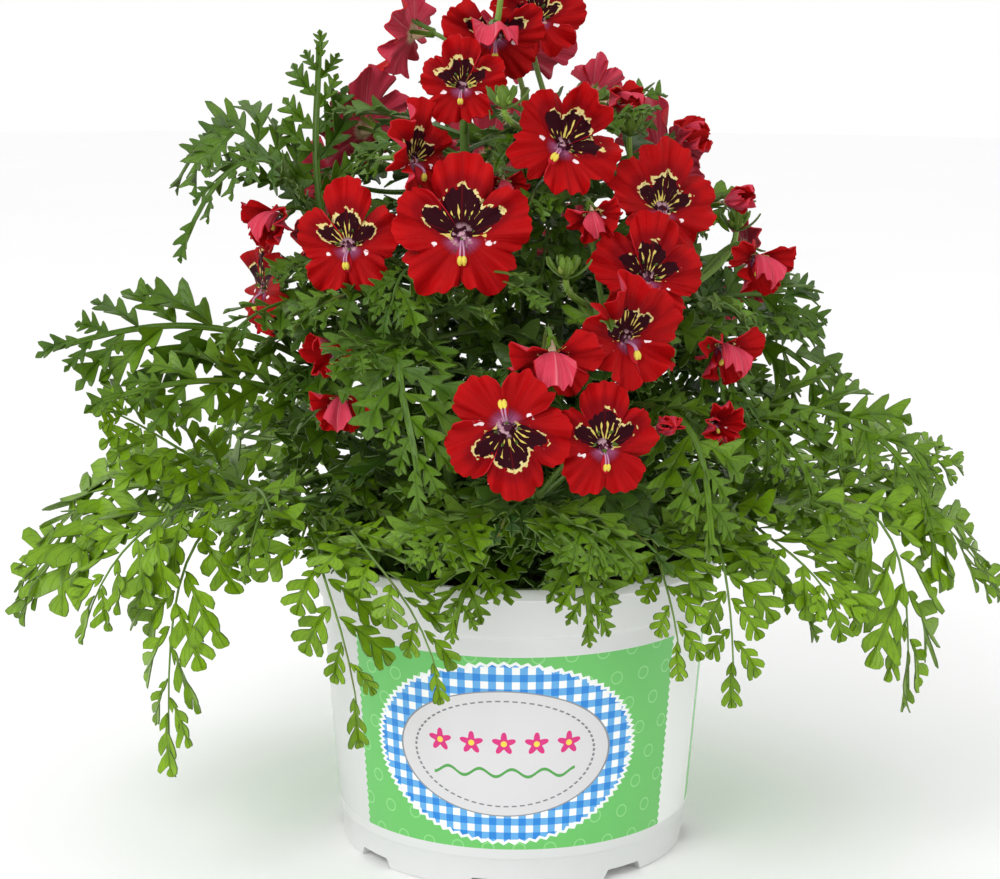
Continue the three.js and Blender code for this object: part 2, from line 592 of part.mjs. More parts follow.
// A tight head: a star of green bracts on its own stalk
const HEAD_BRACTS = 6;
const HEAD_RADIUS = 8.5;
function headSolid(head) {
  const centre = vec(...head.c);
  const from = stemCurves[head.stem].getPoint(head.at);
  const knee = vec(centre.x, centre.y, (from.z + centre.z) / 2);
  const points = [centre];
  const faces = [];
  const rim = [];
  for (let i = 0; i < 2 * HEAD_BRACTS; i++) {
    const angle = (Math.PI * i) / HEAD_BRACTS;
    const reach = i % 2 ? HEAD_RADIUS * 0.34 : HEAD_RADIUS * (i % 4 ? 1 : 0.8);
    const rise = i % 4 === 2 ? 0.35 : 0.9;
    points.push(vec(Math.cos(angle), Math.sin(angle), rise).multiplyScalar(reach).add(centre));
    rim.push(i + 1);
    faces.push([0, i + 1, ((i + 1) % (2 * HEAD_BRACTS)) + 1]);
  }
  const star = sheet(points, points.map(() => UP), faces, rim, 1);
  return star.add(rod(curveOf(from, knee, centre), () => 0.9, 3, 3));
}

// The soil: a plug that fills the pot, with a lumpy top and a plain hole for each stem

function makeSoil() {
  const slack = GAP + 0.25;
  const bottom = NOTCH_HEIGHT + WALL + GAP;
  const collarFoot = potWall(COLLAR_FOOT_Z) - WALL - slack;
  const plug = turned(
    [
      [0, bottom],
      [FOOT_RADIUS - WALL - slack, bottom],
      [collarFoot, COLLAR_FOOT_Z + 0.4],
      [collarFoot + COLLAR_STEP, COLLAR_FOOT_Z + 2],
      [collarFoot + COLLAR_STEP + 0.1, SOIL_TOP - 1],
      [46, SOIL_TOP],
      [32, SOIL_TOP + 1],
      [15, SOIL_TOP + 1.8],
      [0, SOIL_TOP + 2],
    ],
    SOIL_SIDES,
  );
  const place = plug.attributes.position;
  for (let i = 0; i < place.count; i++) {
    const x = place.getX(i);
    const y = place.getY(i);
    if (place.getZ(i) < SOIL_TOP - 0.5) continue;
    const lump = Math.sin(x * 0.9 + 1) * Math.cos(y * 0.8) + 0.6 * Math.sin(x * 0.37 - y * 0.45);
    place.setZ(i, place.getZ(i) + 0.9 * lump);
  }
  let soil = solid(plug);
  for (const curve of stemCurves) {
    const hole = rod(curve, (t) => stemRadius(t) + 2 * GAP, STEM_STEPS, STEM_SIDES);
    soil = soil.subtract(hole.translate([0, 0, -GAP]));
  }
  return soil;
}

// The plant is put together in order of what must stay whole: pot, blooms, stems, and leaves last.
// What is in place is kept with the stem that carries it, and later pieces keep clear of it.

const inPlace = [];
function settle(whole, stem, isLeaf = false) {
  inPlace.push({ box: whole.boundingBox(), space: grown(whole), stem, isLeaf });
}

function boxesMeet(p, q) {
  return [0, 1, 2].every((k) => p.min[k] < q.max[k] + GAP && q.min[k] < p.max[k] + GAP);
}

function centreOf(whole) {
  const { min, max } = whole.boundingBox();
  return vec(...min).add(vec(...max)).multiplyScalar(0.5);
}

// The part of a piece that is left clear of other stems' pieces and still holds its foot
function clearPart(whole, foot, stem) {
  const box = whole.boundingBox();
  let left = whole;
  for (const other of inPlace)
    if ((stem === undefined || other.stem !== stem) && boxesMeet(box, other.box))
      left = left.subtract(other.space);
  const holds = ({ min, max }) =>
    foot.toArray().every((value, k) => value > min[k] - 1 && value < max[k] + 1);
  const rooted = left.decompose().filter((one) => holds(one.boundingBox()));
  return rooted.length ? rooted.reduce((a, b) => (b.volume() > a.volume() ? b : a)) : null;
}

// Where a leaf runs into what is in place. Leaves of one stem may meet close to their feet.
const NEAR_FOOT = 16;
function hitsOf(whole, foot, stem) {
  const box = whole.boundingBox();
  const hits = [];
  for (const other of inPlace) {
    const own = other.stem === stem;
    if ((own && !other.isLeaf) || !boxesMeet(box, other.box)) continue;
    for (const piece of whole.intersect(other.space).decompose()) {
      const at = centreOf(piece);
      if (!own || at.distanceTo(foot) > NEAR_FOOT) hits.push(at);
    }
  }
  return hits;
}

const FIT_ROUNDS = 12;
function fittedLeaf(leaf) {
  const foot = stemCurves[leaf.stem].getPoint(leaf.at);
  const bends = Array(2 * (leaf.pairs ?? PAIRS)).fill(0);
  let made = leafSolid(leaf, bends);
  for (let round = 0; round < FIT_ROUNDS; round++) {
    const touched = new Set();
    for (const hit of hitsOf(made.whole, foot, leaf.stem)) {
      const spans = made.middles.map((middle) => middle.distanceTo(hit));
      touched.add(spans.indexOf(Math.min(...spans)));
    }
    if (!touched.size) break;
    for (const k of touched) bends[k] = Math.min(bends[k] + 1, BENDS.length - 1);
    made = leafSolid(leaf, bends);
  }
  return clearPart(made.whole, foot, leaf.stem);
}

const pot = makePot();
const soil = makeSoil();
settle(pot);
settle(soil);
const corollas = [...BLOOMS, ...BUDS].map((piece, i) => {
  const whole = i < BLOOMS.length ? bloomSolid(piece, 4) : bloomSolid(piece, 2);
  const made = clearPart(whole, vec(...piece.c));
  settle(made);
  return made;
});

const plants = STEMS.map((stem, i) => {
  const stemRod = rod(stemCurves[i], stemRadius, STEM_STEPS, STEM_SIDES);
  settle(stemRod, i);
  return [stemRod];
});

function attach(piece, whole, isLeaf) {
  if (!whole) return;
  plants[piece.stem].push(whole);
  settle(whole, piece.stem, isLeaf);
}

for (const piece of [...BLOOMS, ...BUDS]) {
  const foot = stemCurves[piece.stem].getPoint(piece.at);
  const whole = stalkSolid(piece, stalkEnd(piece), facing(piece).front);
  attach(piece, clearPart(whole, foot, piece.stem), false);
}
for (const head of HEADS) {
  const foot = stemCurves[head.stem].getPoint(head.at);
  attach(head, clearPart(headSolid(head), foot, head.stem), false);
}
for (const leaf of allLeaves) attach(leaf, fittedLeaf(leaf), true);

const number = (i) => String(i + 1).padStart(2, "0");
addMesh("pot", pot, "pot");
addMesh("soil", soil, "soil");
plants.forEach((parts, i) => addMesh("leafy_stem_" + number(i), largest(joined(parts)), "leaf"));
corollas.forEach((corolla, i) => {
  const isBloom = i < BLOOMS.length;
  const name = isBloom ? "bloom_" + number(i) : "bud_" + number(i - BLOOMS.length);
  addMesh(name, corolla, isBloom ? "bloom" : "bud");
});

export default group;
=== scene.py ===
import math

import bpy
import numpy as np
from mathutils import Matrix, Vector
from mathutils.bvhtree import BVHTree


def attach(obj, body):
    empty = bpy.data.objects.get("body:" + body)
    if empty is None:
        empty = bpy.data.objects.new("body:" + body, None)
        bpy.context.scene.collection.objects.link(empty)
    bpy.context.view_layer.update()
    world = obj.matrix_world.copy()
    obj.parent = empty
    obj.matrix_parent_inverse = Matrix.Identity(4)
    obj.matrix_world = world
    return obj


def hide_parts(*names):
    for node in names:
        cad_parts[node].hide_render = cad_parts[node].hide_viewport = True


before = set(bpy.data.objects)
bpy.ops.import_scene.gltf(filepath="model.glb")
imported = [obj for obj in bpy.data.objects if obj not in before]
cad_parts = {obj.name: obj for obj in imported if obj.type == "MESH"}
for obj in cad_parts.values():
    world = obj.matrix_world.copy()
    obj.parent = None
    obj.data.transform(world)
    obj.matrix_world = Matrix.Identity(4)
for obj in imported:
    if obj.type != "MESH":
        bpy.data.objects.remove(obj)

# %% [markdown]
# A butterfly flower in its nursery pot
#
# The real thing is a dwarf schizanthus: a dome of ferny leaves and red two-lipped flowers over a
# white 12 cm pot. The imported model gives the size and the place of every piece. This lesson
# dresses them in turn: the pot, its soil, the leafy stems, the open blooms and the half-open ones.
# Blender works in metres, but a plant is easier to think of in millimetres, so the tables and the
# shapes are in millimetres, and one factor turns them into metres when a mesh is made.

MM = 0.001
UP = np.array([0.0, 0.0, 1.0])
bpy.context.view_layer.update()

# %% [markdown]
# Colours are picked as sRGB hex values, the way a paint program shows them. A shader works with
# linear light, so one function turns the one into the other. A second one adds a node of any
# kind: it fills the node's inputs from sockets, numbers or hex colours, and hands back an output.
# Presets hold the settings that come up often.


# %% Colour and node helpers
def linear(code):
    """Linear red, green, blue and alpha from a hex code."""
    parts = [int(code[i : i + 2], 16) / 255 for i in (0, 2, 4)]
    light = [c / 12.92 if c <= 0.04045 else ((c + 0.055) / 1.055) ** 2.4 for c in parts]
    return (*light, 1.0)


def add(tree, preset, *inputs, **settings):
    """Adds a node of a kind, or of a preset below, fills its inputs and returns one output."""
    settings = (preset if isinstance(preset, dict) else dict(kind=preset)) | settings
    node, out = tree.nodes.new("ShaderNode" + settings.pop("kind")), settings.pop("out", 0)
    for name, value in settings.items():
        setattr(node, name, value)
    named = inputs and isinstance(inputs[0], dict)
    for key, value in inputs[0].items() if named else enumerate(inputs):
        if isinstance(value, bpy.types.NodeSocket):
            tree.links.new(value, node.inputs[key])
        else:
            node.inputs[key].default_value = linear(value) if isinstance(value, str) else value
    return node.outputs[out]


def new_material(name, roughness, colour=None, **sockets):
    """A material with one Principled shader, whose even values are set on its own sockets."""
    material = bpy.data.materials.new(name)
    material.use_nodes = True
    shader = material.node_tree.nodes["Principled BSDF"]
    shader.inputs["Roughness"].default_value = roughness
    if colour:
        shader.inputs["Base Color"].default_value = linear(colour)
    for key, value in sockets.items():
        shader.inputs[key.replace("_", " ")].default_value = value
    return material, material.node_tree, shader


def paint(tree, shader, colour, layers, height=None, depth=1.0, strength=1.0):
    """Lays colours over a first one, each by its mask, and adds a relief so many mm deep."""
    for mask, over in layers:
        colour = add(tree, MIX, {0: mask, 6: colour, 7: over})
    tree.links.new(colour, shader.inputs["Base Color"])
    if height is not None:
        relief = {"Height": height, "Distance": depth * MM, "Strength": strength}
        tree.links.new(add(tree, "Bump", relief), shader.inputs["Normal"])


SMOOTH = dict(kind="MapRange", interpolation_type="SMOOTHSTEP")
MIX = dict(kind="Mix", data_type="RGBA", out=2)
LENGTH = dict(kind="VectorMath", operation="LENGTH", out="Value")
TIMES, PLUS, MINUS, TIMES_PLUS, BELOW, ABOVE, NEAR, PINGPONG, WRAP, ANGLE, SIZE = (
    dict(kind="Math", operation=name)
    for name in """MULTIPLY ADD SUBTRACT MULTIPLY_ADD LESS_THAN GREATER_THAN COMPARE PINGPONG
    FLOORED_MODULO ARCTAN2 ABSOLUTE""".split()
)
print("node helpers ready")

# %% [markdown]
# The plan of the plant. Fourteen stems stand in the soil, and every bloom, bud, head and leaf says
# which stem carries it, how far along it, and where its own centre or tip is. They are the same
# driving values as in the solids, so the fine pieces grow in the same places. Each table has its
# keys in one line, and a row may leave out the last of them.


# %% A table: rows of values under one line of keys
def table(keys, *rows):
    return [dict(zip(keys.split(), row)) for row in rows]


# %% The stems: foot, tip and bow in mm, and which of them carry the hanging fern leaves
STEM_FOOT_Z = 68
STEM_RADIUS = 2.2
STEM_TIP_RADIUS = 1.2
STEM_RISE = 0.62
STEMS = table(
    "foot tip bow rise fern",
    ((-8, -7), (-15, -14, 216), (-6, -4)),
    ((8, -6), (9, -10, 212), (6, -4)),
    ((-15, -17), (-26, -36, 172), (-4, -8)),
    ((13, -17), (24, -40, 164), (2, -8)),
    ((24, -4), (48, -18, 166), (8, -2)),
    ((1, -27), (6, -66, 116), (0, -10)),
    ((-25, -3), (-54, -10, 172), (-8, 0)),
    ((-13, 12), (-30, 24, 196), (-6, 8)),
    ((3, 18), (2, 20, 216), (0, 10)),
    ((19, 12), (38, 24, 186), (6, 8)),
    ((-27, -20), (-78, -30, 108), (-12, -4), 0.95, True),
    ((28, -20), (76, -28, 106), (12, -4), 0.95, True),
    ((-24, 24), (-66, 50, 112), (-8, 8), 0.95, True),
    ((24, 27), (60, 58, 110), (8, 8), 0.95, True),
)

# %% The blooms: stem, place on it, centre, facing and roll in degrees, openness, size and hood
BLOOM_RADIUS = 20
BLOOM_TUBE = 6
HOOD_FOLD = 75
BUD_CUP = 50
BLOOMS = table(
    "stem at c az el roll open size hood",
    (2, 0.97, (-14.6, -60, 184.5), 2, 10, 0, 1, 0.94),
    (2, 0.9, (-44.5, -46, 179.5), -18, 4, -4, 0.92, 0.76),
    (6, 0.98, (-70.2, -14, 163.6), -66, 0, 0, 0.9, 0.76),
    (0, 0.86, (-28, -45.5, 201.5), 60, 6, 8, 0.75, 0.76),
    (0, 0.95, (-28.5, 0, 233), -112, 12, 0, 0.8, 0.78),
    (0, 0.99, (-6.5, -22, 233), 4, -22, 0, 0.8, 0.72, 0.9),
    (1, 0.98, (5, -5, 237), 14, 14, 0, 0.9, 0.7),
    (0, 0.9, (-15, -36, 220), -8, 6, 0, 0.85, 0.6),
    (1, 0.9, (12, -43, 205), 12, 22, 38, 0.8, 0.8, 0.5),
    (4, 0.97, (38, -34, 188), 32, 14, 14, 0.85, 0.86),
    (3, 0.97, (33.5, -52, 172), 18, 12, 12, 0.9, 0.78),
    (3, 0.88, (26.5, -69, 158.5), 34, 8, -6, 0.6, 0.84),
    (5, 0.96, (-2.5, -91, 137), -4, 8, 170, 0.95, 0.84),
    (5, 0.99, (21.5, -84.5, 134), 12, 6, 0, 0.95, 0.72),
    (7, 0.98, (-43, 8, 206), -138, 14, 0, 0.85, 0.8),
    (7, 0.82, (-56, 40, 172), -125, 8, 6, 0.85, 0.84),
    (8, 0.98, (0, 26, 228), 178, 44, 0, 0.95, 0.86),
    (8, 0.8, (-8, 54, 194), -172, 10, -8, 0.9, 0.9),
    (9, 0.97, (42, 36, 196), 135, 14, 0, 0.9, 0.86),
    (8, 0.72, (20, 62, 162), 162, 6, 8, 0.85, 0.84),
    (9, 0.86, (66, 22, 168), 100, 8, 0, 0.85, 0.8),
)

# %% The half-open blooms and buds, and the tight green heads at the ends of some stalks
BUDS = table(
    "stem at c az el roll open size hood",
    (5, 0.84, (8.5, -81, 156), 4, -30, 0, 0.6, 0.66, 0.9),
    (4, 0.84, (54, -42, 152), 26, -26, 12, 0.5, 0.62, 0.85),
    (4, 0.93, (65, -20, 173), 24, -24, 8, 0.5, 0.62, 0.85),
    (6, 0.72, (-46.1, -52, 139), -8, -30, 4, 0.45, 0.54, 0.85),
    (6, 0.78, (-47, -50, 151), -26, -8, 0, 0.35, 0.54, 0.3),
    (4, 0.78, (51, -54, 133), 24, 0, 0, 0.3, 0.5, 0),
    (5, 0.9, (35.5, -72, 135), 30, 10, 0, 0.1, 0.44, 0),
    (2, 0.94, (-4, -42, 195), 6, -24, 0, 0.4, 0.42, 0.8),
    (3, 0.94, (19, -52, 188), 10, -28, -16, 0.45, 0.44, 0.8),
    (1, 0.94, (24.5, -14, 214), 50, 6, 0, 0.3, 0.56, 0.5),
    (4, 0.98, (43.1, -8, 202), 60, 30, 0, 0.3, 0.6, 0.4),
    (4, 0.95, (56, -16, 187), 60, 14, 0, 0.15, 0.5, 0),
    (6, 0.95, (-64, -24, 184), -34, -12, 0, 0.35, 0.62, 0.7),
    (9, 0.9, (56, 42, 152), 128, -4, 0, 0.35, 0.7, 0.5),
    (7, 0.9, (-52, 16, 190), -112, 18, 0, 0.3, 0.66, 0),
    (8, 0.9, (22, 34, 214), 150, 30, 0, 0.3, 0.6, 0),
)
HEADS = table(
    "stem at c",
    (0, 0.99, (-5, -13, 244)),
    (1, 0.93, (-4, -51, 214)),
    (4, 0.97, (30, -20, 205)),
    (4, 0.96, (61, -8, 178)),
    (3, 0.95, (12, -66, 172)),
)
print("stems", len(STEMS), "blooms", len(BLOOMS), "buds", len(BUDS), "heads", len(HEADS))

# %% The leaves: stem, place on it, tip, the arch's reach and lift, turn about the rib, half width
LEAVES = table(
    "stem at tip reach lift turn half pairs",
    (6, 0.94, (-57, -4, 231), 0.6, 36, -50, 14),
    (6, 0.97, (-95, -2, 188), 0.5, 62, -35, 20),
    (6, 0.86, (-88, -30, 172), 0.55, 72, -20, 15),
    (6, 0.46, (-129, -32, 151), 0.54, 38, -55, 23, 5),
    (6, 0.36, (-113, -50, 138), 0.5, 36, -45, 20),
    (10, 0.92, (-112, -44, 132), 0.6, 22, -50, 19),
    (10, 0.98, (-141, -26, 76), 0.6, 10, -25, 23, 5),
    (10, 0.86, (-116, -50, 72), 0.8, 8, -30, 21),
    (10, 0.74, (-95, -58, 38), 1, 12, -15, 22, 5),
    (10, 0.58, (-46, -77, 52), 1, 20, 0, 17),
    (10, 0.46, (-27, -79, 64), 0.9, 24, 0, 15),
    (2, 0.8, (-28, -92, 118), 0.9, 6, 5, 20),
    (2, 0.7, (-42, -80, 150), 0.6, 14, -15, 16),
    (5, 0.92, (20, -92, 102), 0.8, 6, 8, 17),
    (5, 0.8, (-24, -90, 104), 0.8, 8, -8, 17),
    (5, 0.6, (20, -78, 80), 0.9, 8, 8, 15, 3),
    (5, 0.5, (-16, -76, 80), 0.9, 8, -5, 15, 3),
    (11, 0.6, (56, -72, 62), 1, 18, 5, 17),
    (11, 0.47, (38, -80, 72), 0.9, 24, 0, 15),
    (11, 0.98, (140, -14, 74), 0.6, 10, 28, 23, 5),
    (11, 0.9, (112, -48, 56), 0.85, 8, 25, 22),
    (11, 0.76, (82, -60, 76), 0.8, 8, 15, 18),
    (11, 0.94, (130, 6, 108), 0.6, 18, 40, 19),
    (4, 0.8, (86, -6, 152), 0.6, 18, 50, 17),
    (4, 0.6, (98, 2, 118), 0.7, 26, 55, 19),
    (4, 0.5, (82, -44, 110), 0.8, 16, 25, 19),
    (4, 0.5, (113, -32, 98), 0.8, 32, 40, 19),
    (3, 0.6, (54, -78, 104), 0.8, 14, 15, 18),
)

# %% More leaves, by one rule for each stem: they fan out away from the pot's middle
MORE_LEAVES = table(
    "stem count span spread length half sink lift aim",
    (0, 2, (0.5, 0.72), 40, 50, 17, 8, 12, 170),
    (1, 3, (0.4, 0.78), 50, 50, 17, 8, 12, 10),
    (7, 4, (0.2, 0.7), 46, 74, 19, 30, 8),
    (8, 4, (0.2, 0.7), 40, 70, 19, 30, 8),
    (9, 4, (0.2, 0.7), 46, 74, 19, 30, 8),
    (12, 4, (0.5, 0.95), 56, 74, 21, 40, 16),
    (13, 4, (0.5, 0.95), 62, 74, 21, 40, 16),
)
seed = 20


def draw():
    """The solids' own seeded draw, so that the ruled leaves land in the same places."""
    global seed
    seed = (seed * 1664525 + 1013904223) % 4294967296
    return seed / 4294967296


# %% [markdown]
# Three forms make the whole plant. A curve is what a stem or rib follows. A rod is round and goes
# along a curve. A blade is a grid of points given a thickness, with its own finish on the upper
# side, the underside and the edge. They are worked out with numpy, because a leaf here is a
# formula: it would take many thousands of bmesh calls to say the same. Every point also keeps a
# few values, such as how far it is from its midrib, and the finishes read them.


# %% Curves
def unit(v):
    return v / np.maximum(np.linalg.norm(v, axis=-1, keepdims=True), 1e-12)


class Curve:
    """A quadratic curve from a to c that leans towards b, in millimetres."""

    def __init__(self, a, b, c):
        self.a, self.b, self.c = (np.array(p, float) for p in (a, b, c))
        steps = self.at(np.linspace(0, 1, 200))
        self.length = float(np.linalg.norm(np.diff(steps, axis=0), axis=1).sum())

    def at(self, t):
        t = np.asarray(t, float)[..., None]
        return (1 - t) ** 2 * self.a + 2 * t * (1 - t) * self.b + t**2 * self.c

    def way(self, t):
        t = np.asarray(t, float)[..., None]
        return unit((1 - t) * (self.b - self.a) + t * (self.c - self.b))


def stem_curve(stem):
    (fx, fy), (tx, ty, tz), (bx, by) = stem["foot"], stem["tip"], stem["bow"]
    middle = STEM_FOOT_Z + stem.get("rise", STEM_RISE) * (tz - STEM_FOOT_Z)
    return Curve((fx, fy, STEM_FOOT_Z), (fx + bx, fy + by, middle), (tx, ty, tz))


stem_curves = [stem_curve(stem) for stem in STEMS]
print("stems:", len(stem_curves), "longest", round(max(c.length for c in stem_curves)), "mm")


# %% A body: the points, faces, finishes and values of one piece, gathered and then made a mesh
def squares(rows, columns):
    """The numbers of a grid's points, and the corners of the squares between them."""
    flat = np.arange(rows * columns).reshape(rows, columns)
    corners = (flat[:-1, :-1], flat[1:, :-1], flat[1:, 1:], flat[:-1, 1:])
    return flat, np.stack(corners, -1).reshape(-1, 4)


class Body:
    def __init__(self):
        self.points, self.faces, self.looks, self.values = [], [], [], []
        self.count = 0

    def take(self, points, faces, looks, **values):
        """Adds points and their faces. looks is one finish for all faces, or one for each."""
        points = np.asarray(points, float).reshape(-1, 3)
        self.faces += [[i + self.count for i in face] for face in faces]
        self.looks += [looks] * len(faces) if isinstance(looks, int) else looks
        self.points.append(points)
        whole = {k: np.broadcast_to(v, len(points)) for k, v in values.items()}
        self.values.append((len(points), whole))
        self.count += len(points)

    def blade(self, grid, thickness, looks, **values):
        """A grid of points as a thin blade. looks are its front, back and edge."""
        normal = unit(np.cross(np.gradient(grid, axis=0), np.gradient(grid, axis=1)))
        flat, front = squares(*grid.shape[:2])
        back = front[:, ::-1] + flat.size
        loop = np.concatenate([flat[:, 0], flat[-1, 1:], flat[-2::-1, -1], flat[0, -2:0:-1]])
        turn = np.roll(loop, -1)
        edge = np.stack([loop, loop + flat.size, turn + flat.size, turn], -1)
        faces = np.concatenate([front, back, edge]).tolist()
        finish = [looks[0]] * len(front) + [looks[1]] * len(back) + [looks[2]] * len(edge)
        both = np.concatenate([grid + normal * thickness / 2, grid - normal * thickness / 2])
        kept = {k: np.tile(np.broadcast_to(v, flat.shape).ravel(), 2) for k, v in values.items()}
        self.take(both, faces, finish, **kept)

    def skin(self, rings, look, **values):
        """A closed skin over rings of points that all go round the same way."""
        count, sides = rings.shape[:2]
        flat = np.arange(count * sides).reshape(count, sides)
        after = np.roll(flat, -1, axis=1)
        faces = np.stack([flat[:-1], after[:-1], after[1:], flat[1:]], -1).reshape(-1, 4).tolist()
        faces += [flat[0, ::-1].tolist(), flat[-1].tolist()]
        kept = {k: np.broadcast_to(v, flat.shape).ravel() for k, v in values.items()}
        self.take(rings, faces, look, **kept)

    def rod(self, curve, radii, sides, look, **values):
        """A round rod along a curve, with a radius for each of its rings."""
        self.rod_through(curve.at(np.linspace(0, 1, len(radii))), radii, sides, look, **values)

    def rod_through(self, middles, radii, sides, look, **values):
        side = np.array([0.98, 0.13, 0.07])
        angle = np.linspace(0, 2 * math.pi, sides, endpoint=False)[:, None]
        rings = []
        for middle, way, radius in zip(middles, unit(np.gradient(middles, axis=0)), radii):
            side = unit(side - way * (side @ way))
            out = side * np.cos(angle) + np.cross(way, side) * np.sin(angle)
            rings.append(middle + out * radius)
        self.skin(np.array(rings), look, **values)

    def make(self, name, materials, sharp_deg=50):
        """The object, in metres, smooth but for its edges."""
        mesh = bpy.data.meshes.new(name)
        mesh.from_pydata((np.concatenate(self.points) * MM).tolist(), [], self.faces)
        for material in materials:
            mesh.materials.append(material)
        mesh.polygons.foreach_set("material_index", self.looks)
        for key in sorted({k for _, whole in self.values for k in whole}):
            parts = [whole.get(key, np.zeros(n)) for n, whole in self.values]
            kept = mesh.attributes.new(key, "FLOAT", "POINT")
            kept.data.foreach_set("value", np.concatenate(parts).astype(np.float32))
        mesh.shade_smooth()
        mesh.set_sharp_from_angle(angle=math.radians(sharp_deg))
        piece = bpy.data.objects.new(name, mesh)
        bpy.context.scene.collection.objects.link(piece)
        return piece


triangles = {}


def dress(piece, node):
    """The piece rides on the plant's one body and stands for its solid."""
    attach(piece, "root")
    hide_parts(node)
    triangles[piece.name] = sum(len(p.vertices) - 2 for p in piece.data.polygons)


# %% [markdown]
# The pot is thermoformed from one thin sheet of white polypropylene with a black inner layer,
# which keeps light off the roots. The outside is satin, a little glossier on the printed film of
# its label. The label is the nursery's kind: a green band with a gingham oval, a grey plate with a
# stitched line, and two bare panels at its sides. It is drawn in the material from the angle round
# the pot and the height, in millimetres, so it needs no picture.

# %% Pot measures, as in the solids
RIM_RADIUS = 60
POT_HEIGHT = 88.5
FOOT_RADIUS = 50
WALL = 1.2
FLOOR = 1.4
FOOT_BAND_Z = 9.4
FOOT_BAND_STEP = 1.2
WALL_TAPER = 4.8
COLLAR_FOOT_Z = 73.5
COLLAR_STEP = 1.5
NOTCHES = 8
NOTCH_WIDTH = 15
NOTCH_HEIGHT = 3
CHANNEL_REACH = 22
FIRST_NOTCH_DEG = -7
DRAIN_RADIUS = 4
DRAIN_REACH = 33
LABEL_FOOT_Z = 12.3
LABEL_TOP_Z = 68.5

# %% The printed label, all in mm: its ovals, its rings, its row of flowers, its vine and panels
LABEL_RADIUS = 54
LABEL_MIDDLE = (-3, 40.5)
CLOTH_HALF = (38, 26)
PLATE_HALF = (29, 17.5)
CLOTH_TEETH, PLATE_DASHES, STITCH_AT, STITCH_LINE = 14.0, 22.0, 0.88, 0.012
GINGHAM = 4.2
RING_GAP, RING_ROW, RING_RADIUS, RING_LINE = 9.0, 8.0, 1.7, 0.22
FLOWER_GAP, FLOWER_LEVEL, FLOWER_END, FLOWER_HEART = 9.0, 3.0, 22.5, 0.85
VINE_LEVEL, VINE_RISE, VINE_END, VINE_LINE = -5.5, 1.1, 20.0, 0.45
PANEL_RIGHT, PANEL_LEFT, PANEL_END, PANEL_TOOTH = 52.0, -46.0, 74.0, 1.1


def printed_label(tree, u, v):
    """The colour of the print at u mm to the right of the label's middle and v mm above it."""
    ovals = []
    for half in (CLOTH_HALF, PLATE_HALF):
        across, up = (add(tree, TIMES, w, 1 / size) for w, size in zip((u, v), half))
        ovals.append(add(tree, LENGTH, add(tree, "CombineXYZ", across, up)))
    cloth, plate = ovals
    turn = add(tree, ANGLE, up, across)
    teeth = add(tree, PINGPONG, add(tree, TIMES, turn, CLOTH_TEETH), 0.5)
    pinked = add(tree, TIMES_PLUS, teeth, 0.07, cloth)
    dash = add(tree, PINGPONG, add(tree, TIMES, turn, PLATE_DASHES), 1.0)
    stitch = add(tree, NEAR, plate, STITCH_AT, STITCH_LINE)
    stitch = add(tree, TIMES, stitch, add(tree, BELOW, dash, 0.62))
    stripes = []
    for way in (u, v):
        stripes.append(add(tree, BELOW, add(tree, WRAP, way, GINGHAM), GINGHAM / 2))
    pale = add(tree, MIX, {0: stripes[0], 6: "FBFCFB", 7: "63AEE8"})
    full = add(tree, MIX, {0: stripes[0], 6: "63AEE8", 7: "1F86DB"})
    gingham = add(tree, MIX, {0: stripes[1], 6: pale, 7: full})

    row = add(tree, "Math", add(tree, TIMES, v, 1 / RING_ROW), operation="FLOOR")
    lean = add(tree, TIMES_PLUS, row, RING_GAP / 2, u)
    seat = add(tree, PLUS, u, FLOWER_GAP / 2)
    cells = []
    for way, size in ((lean, RING_GAP), (v, RING_ROW), (seat, FLOWER_GAP)):
        cells.append(add(tree, MINUS, add(tree, WRAP, way, size), size / 2))
    cells.append(add(tree, MINUS, v, FLOWER_LEVEL))
    off_ring, reach = (
        add(tree, LENGTH, add(tree, "CombineXYZ", *pair)) for pair in (cells[:2], cells[2:])
    )
    ring = add(tree, NEAR, off_ring, RING_RADIUS, RING_LINE)
    bearing = add(tree, ANGLE, *cells[2:])
    lobes = add(tree, "Math", add(tree, TIMES, bearing, 5.0), operation="COSINE")
    lobes = add(tree, TIMES_PLUS, lobes, 0.9, 2.5)
    aside = add(tree, SIZE, u)
    in_row = add(tree, BELOW, aside, FLOWER_END)
    flower = add(tree, TIMES, add(tree, BELOW, reach, lobes), in_row)
    heart = add(tree, BELOW, reach, FLOWER_HEART)
    heart = add(tree, TIMES, heart, flower)
    sway = add(tree, "Math", add(tree, TIMES, u, 0.7), operation="SINE")
    sway = add(tree, TIMES_PLUS, sway, VINE_RISE, VINE_LEVEL)
    vine = add(tree, NEAR, v, sway, VINE_LINE)
    vine = add(tree, TIMES, vine, add(tree, BELOW, aside, VINE_END))
    zigzag = add(tree, PINGPONG, v, PANEL_TOOTH)
    near = add(tree, BELOW, aside, PANEL_END)
    panels = []
    for slope, edge, beyond in ((-0.7, PANEL_RIGHT, ABOVE), (0.7, PANEL_LEFT, BELOW)):
        side = add(tree, TIMES_PLUS, zigzag, slope, u)
        side = add(tree, beyond, side, edge)
        panels.append(add(tree, TIMES, side, near))
    layers = [
        (ring, "8AD583"),
        (panels[0], "F1F3F1"),
        (panels[1], "D9DBDA"),
        (add(tree, BELOW, pinked, 1.035), "F4F8F6"),
        (add(tree, BELOW, pinked, 1.0), gingham),
        (add(tree, BELOW, plate, 1.05), "8C9094"),
        (add(tree, BELOW, plate, 1.03), "DAD8DA"),
        (stitch, "7D7F84"),
        (vine, "4FA04A"),
        (flower, "D8267C"),
        (heart, "F2D64B"),
    ]
    colour = "6CC566"
    for mask, over in layers:
        colour = add(tree, MIX, {0: mask, 6: colour, 7: over})
    return colour


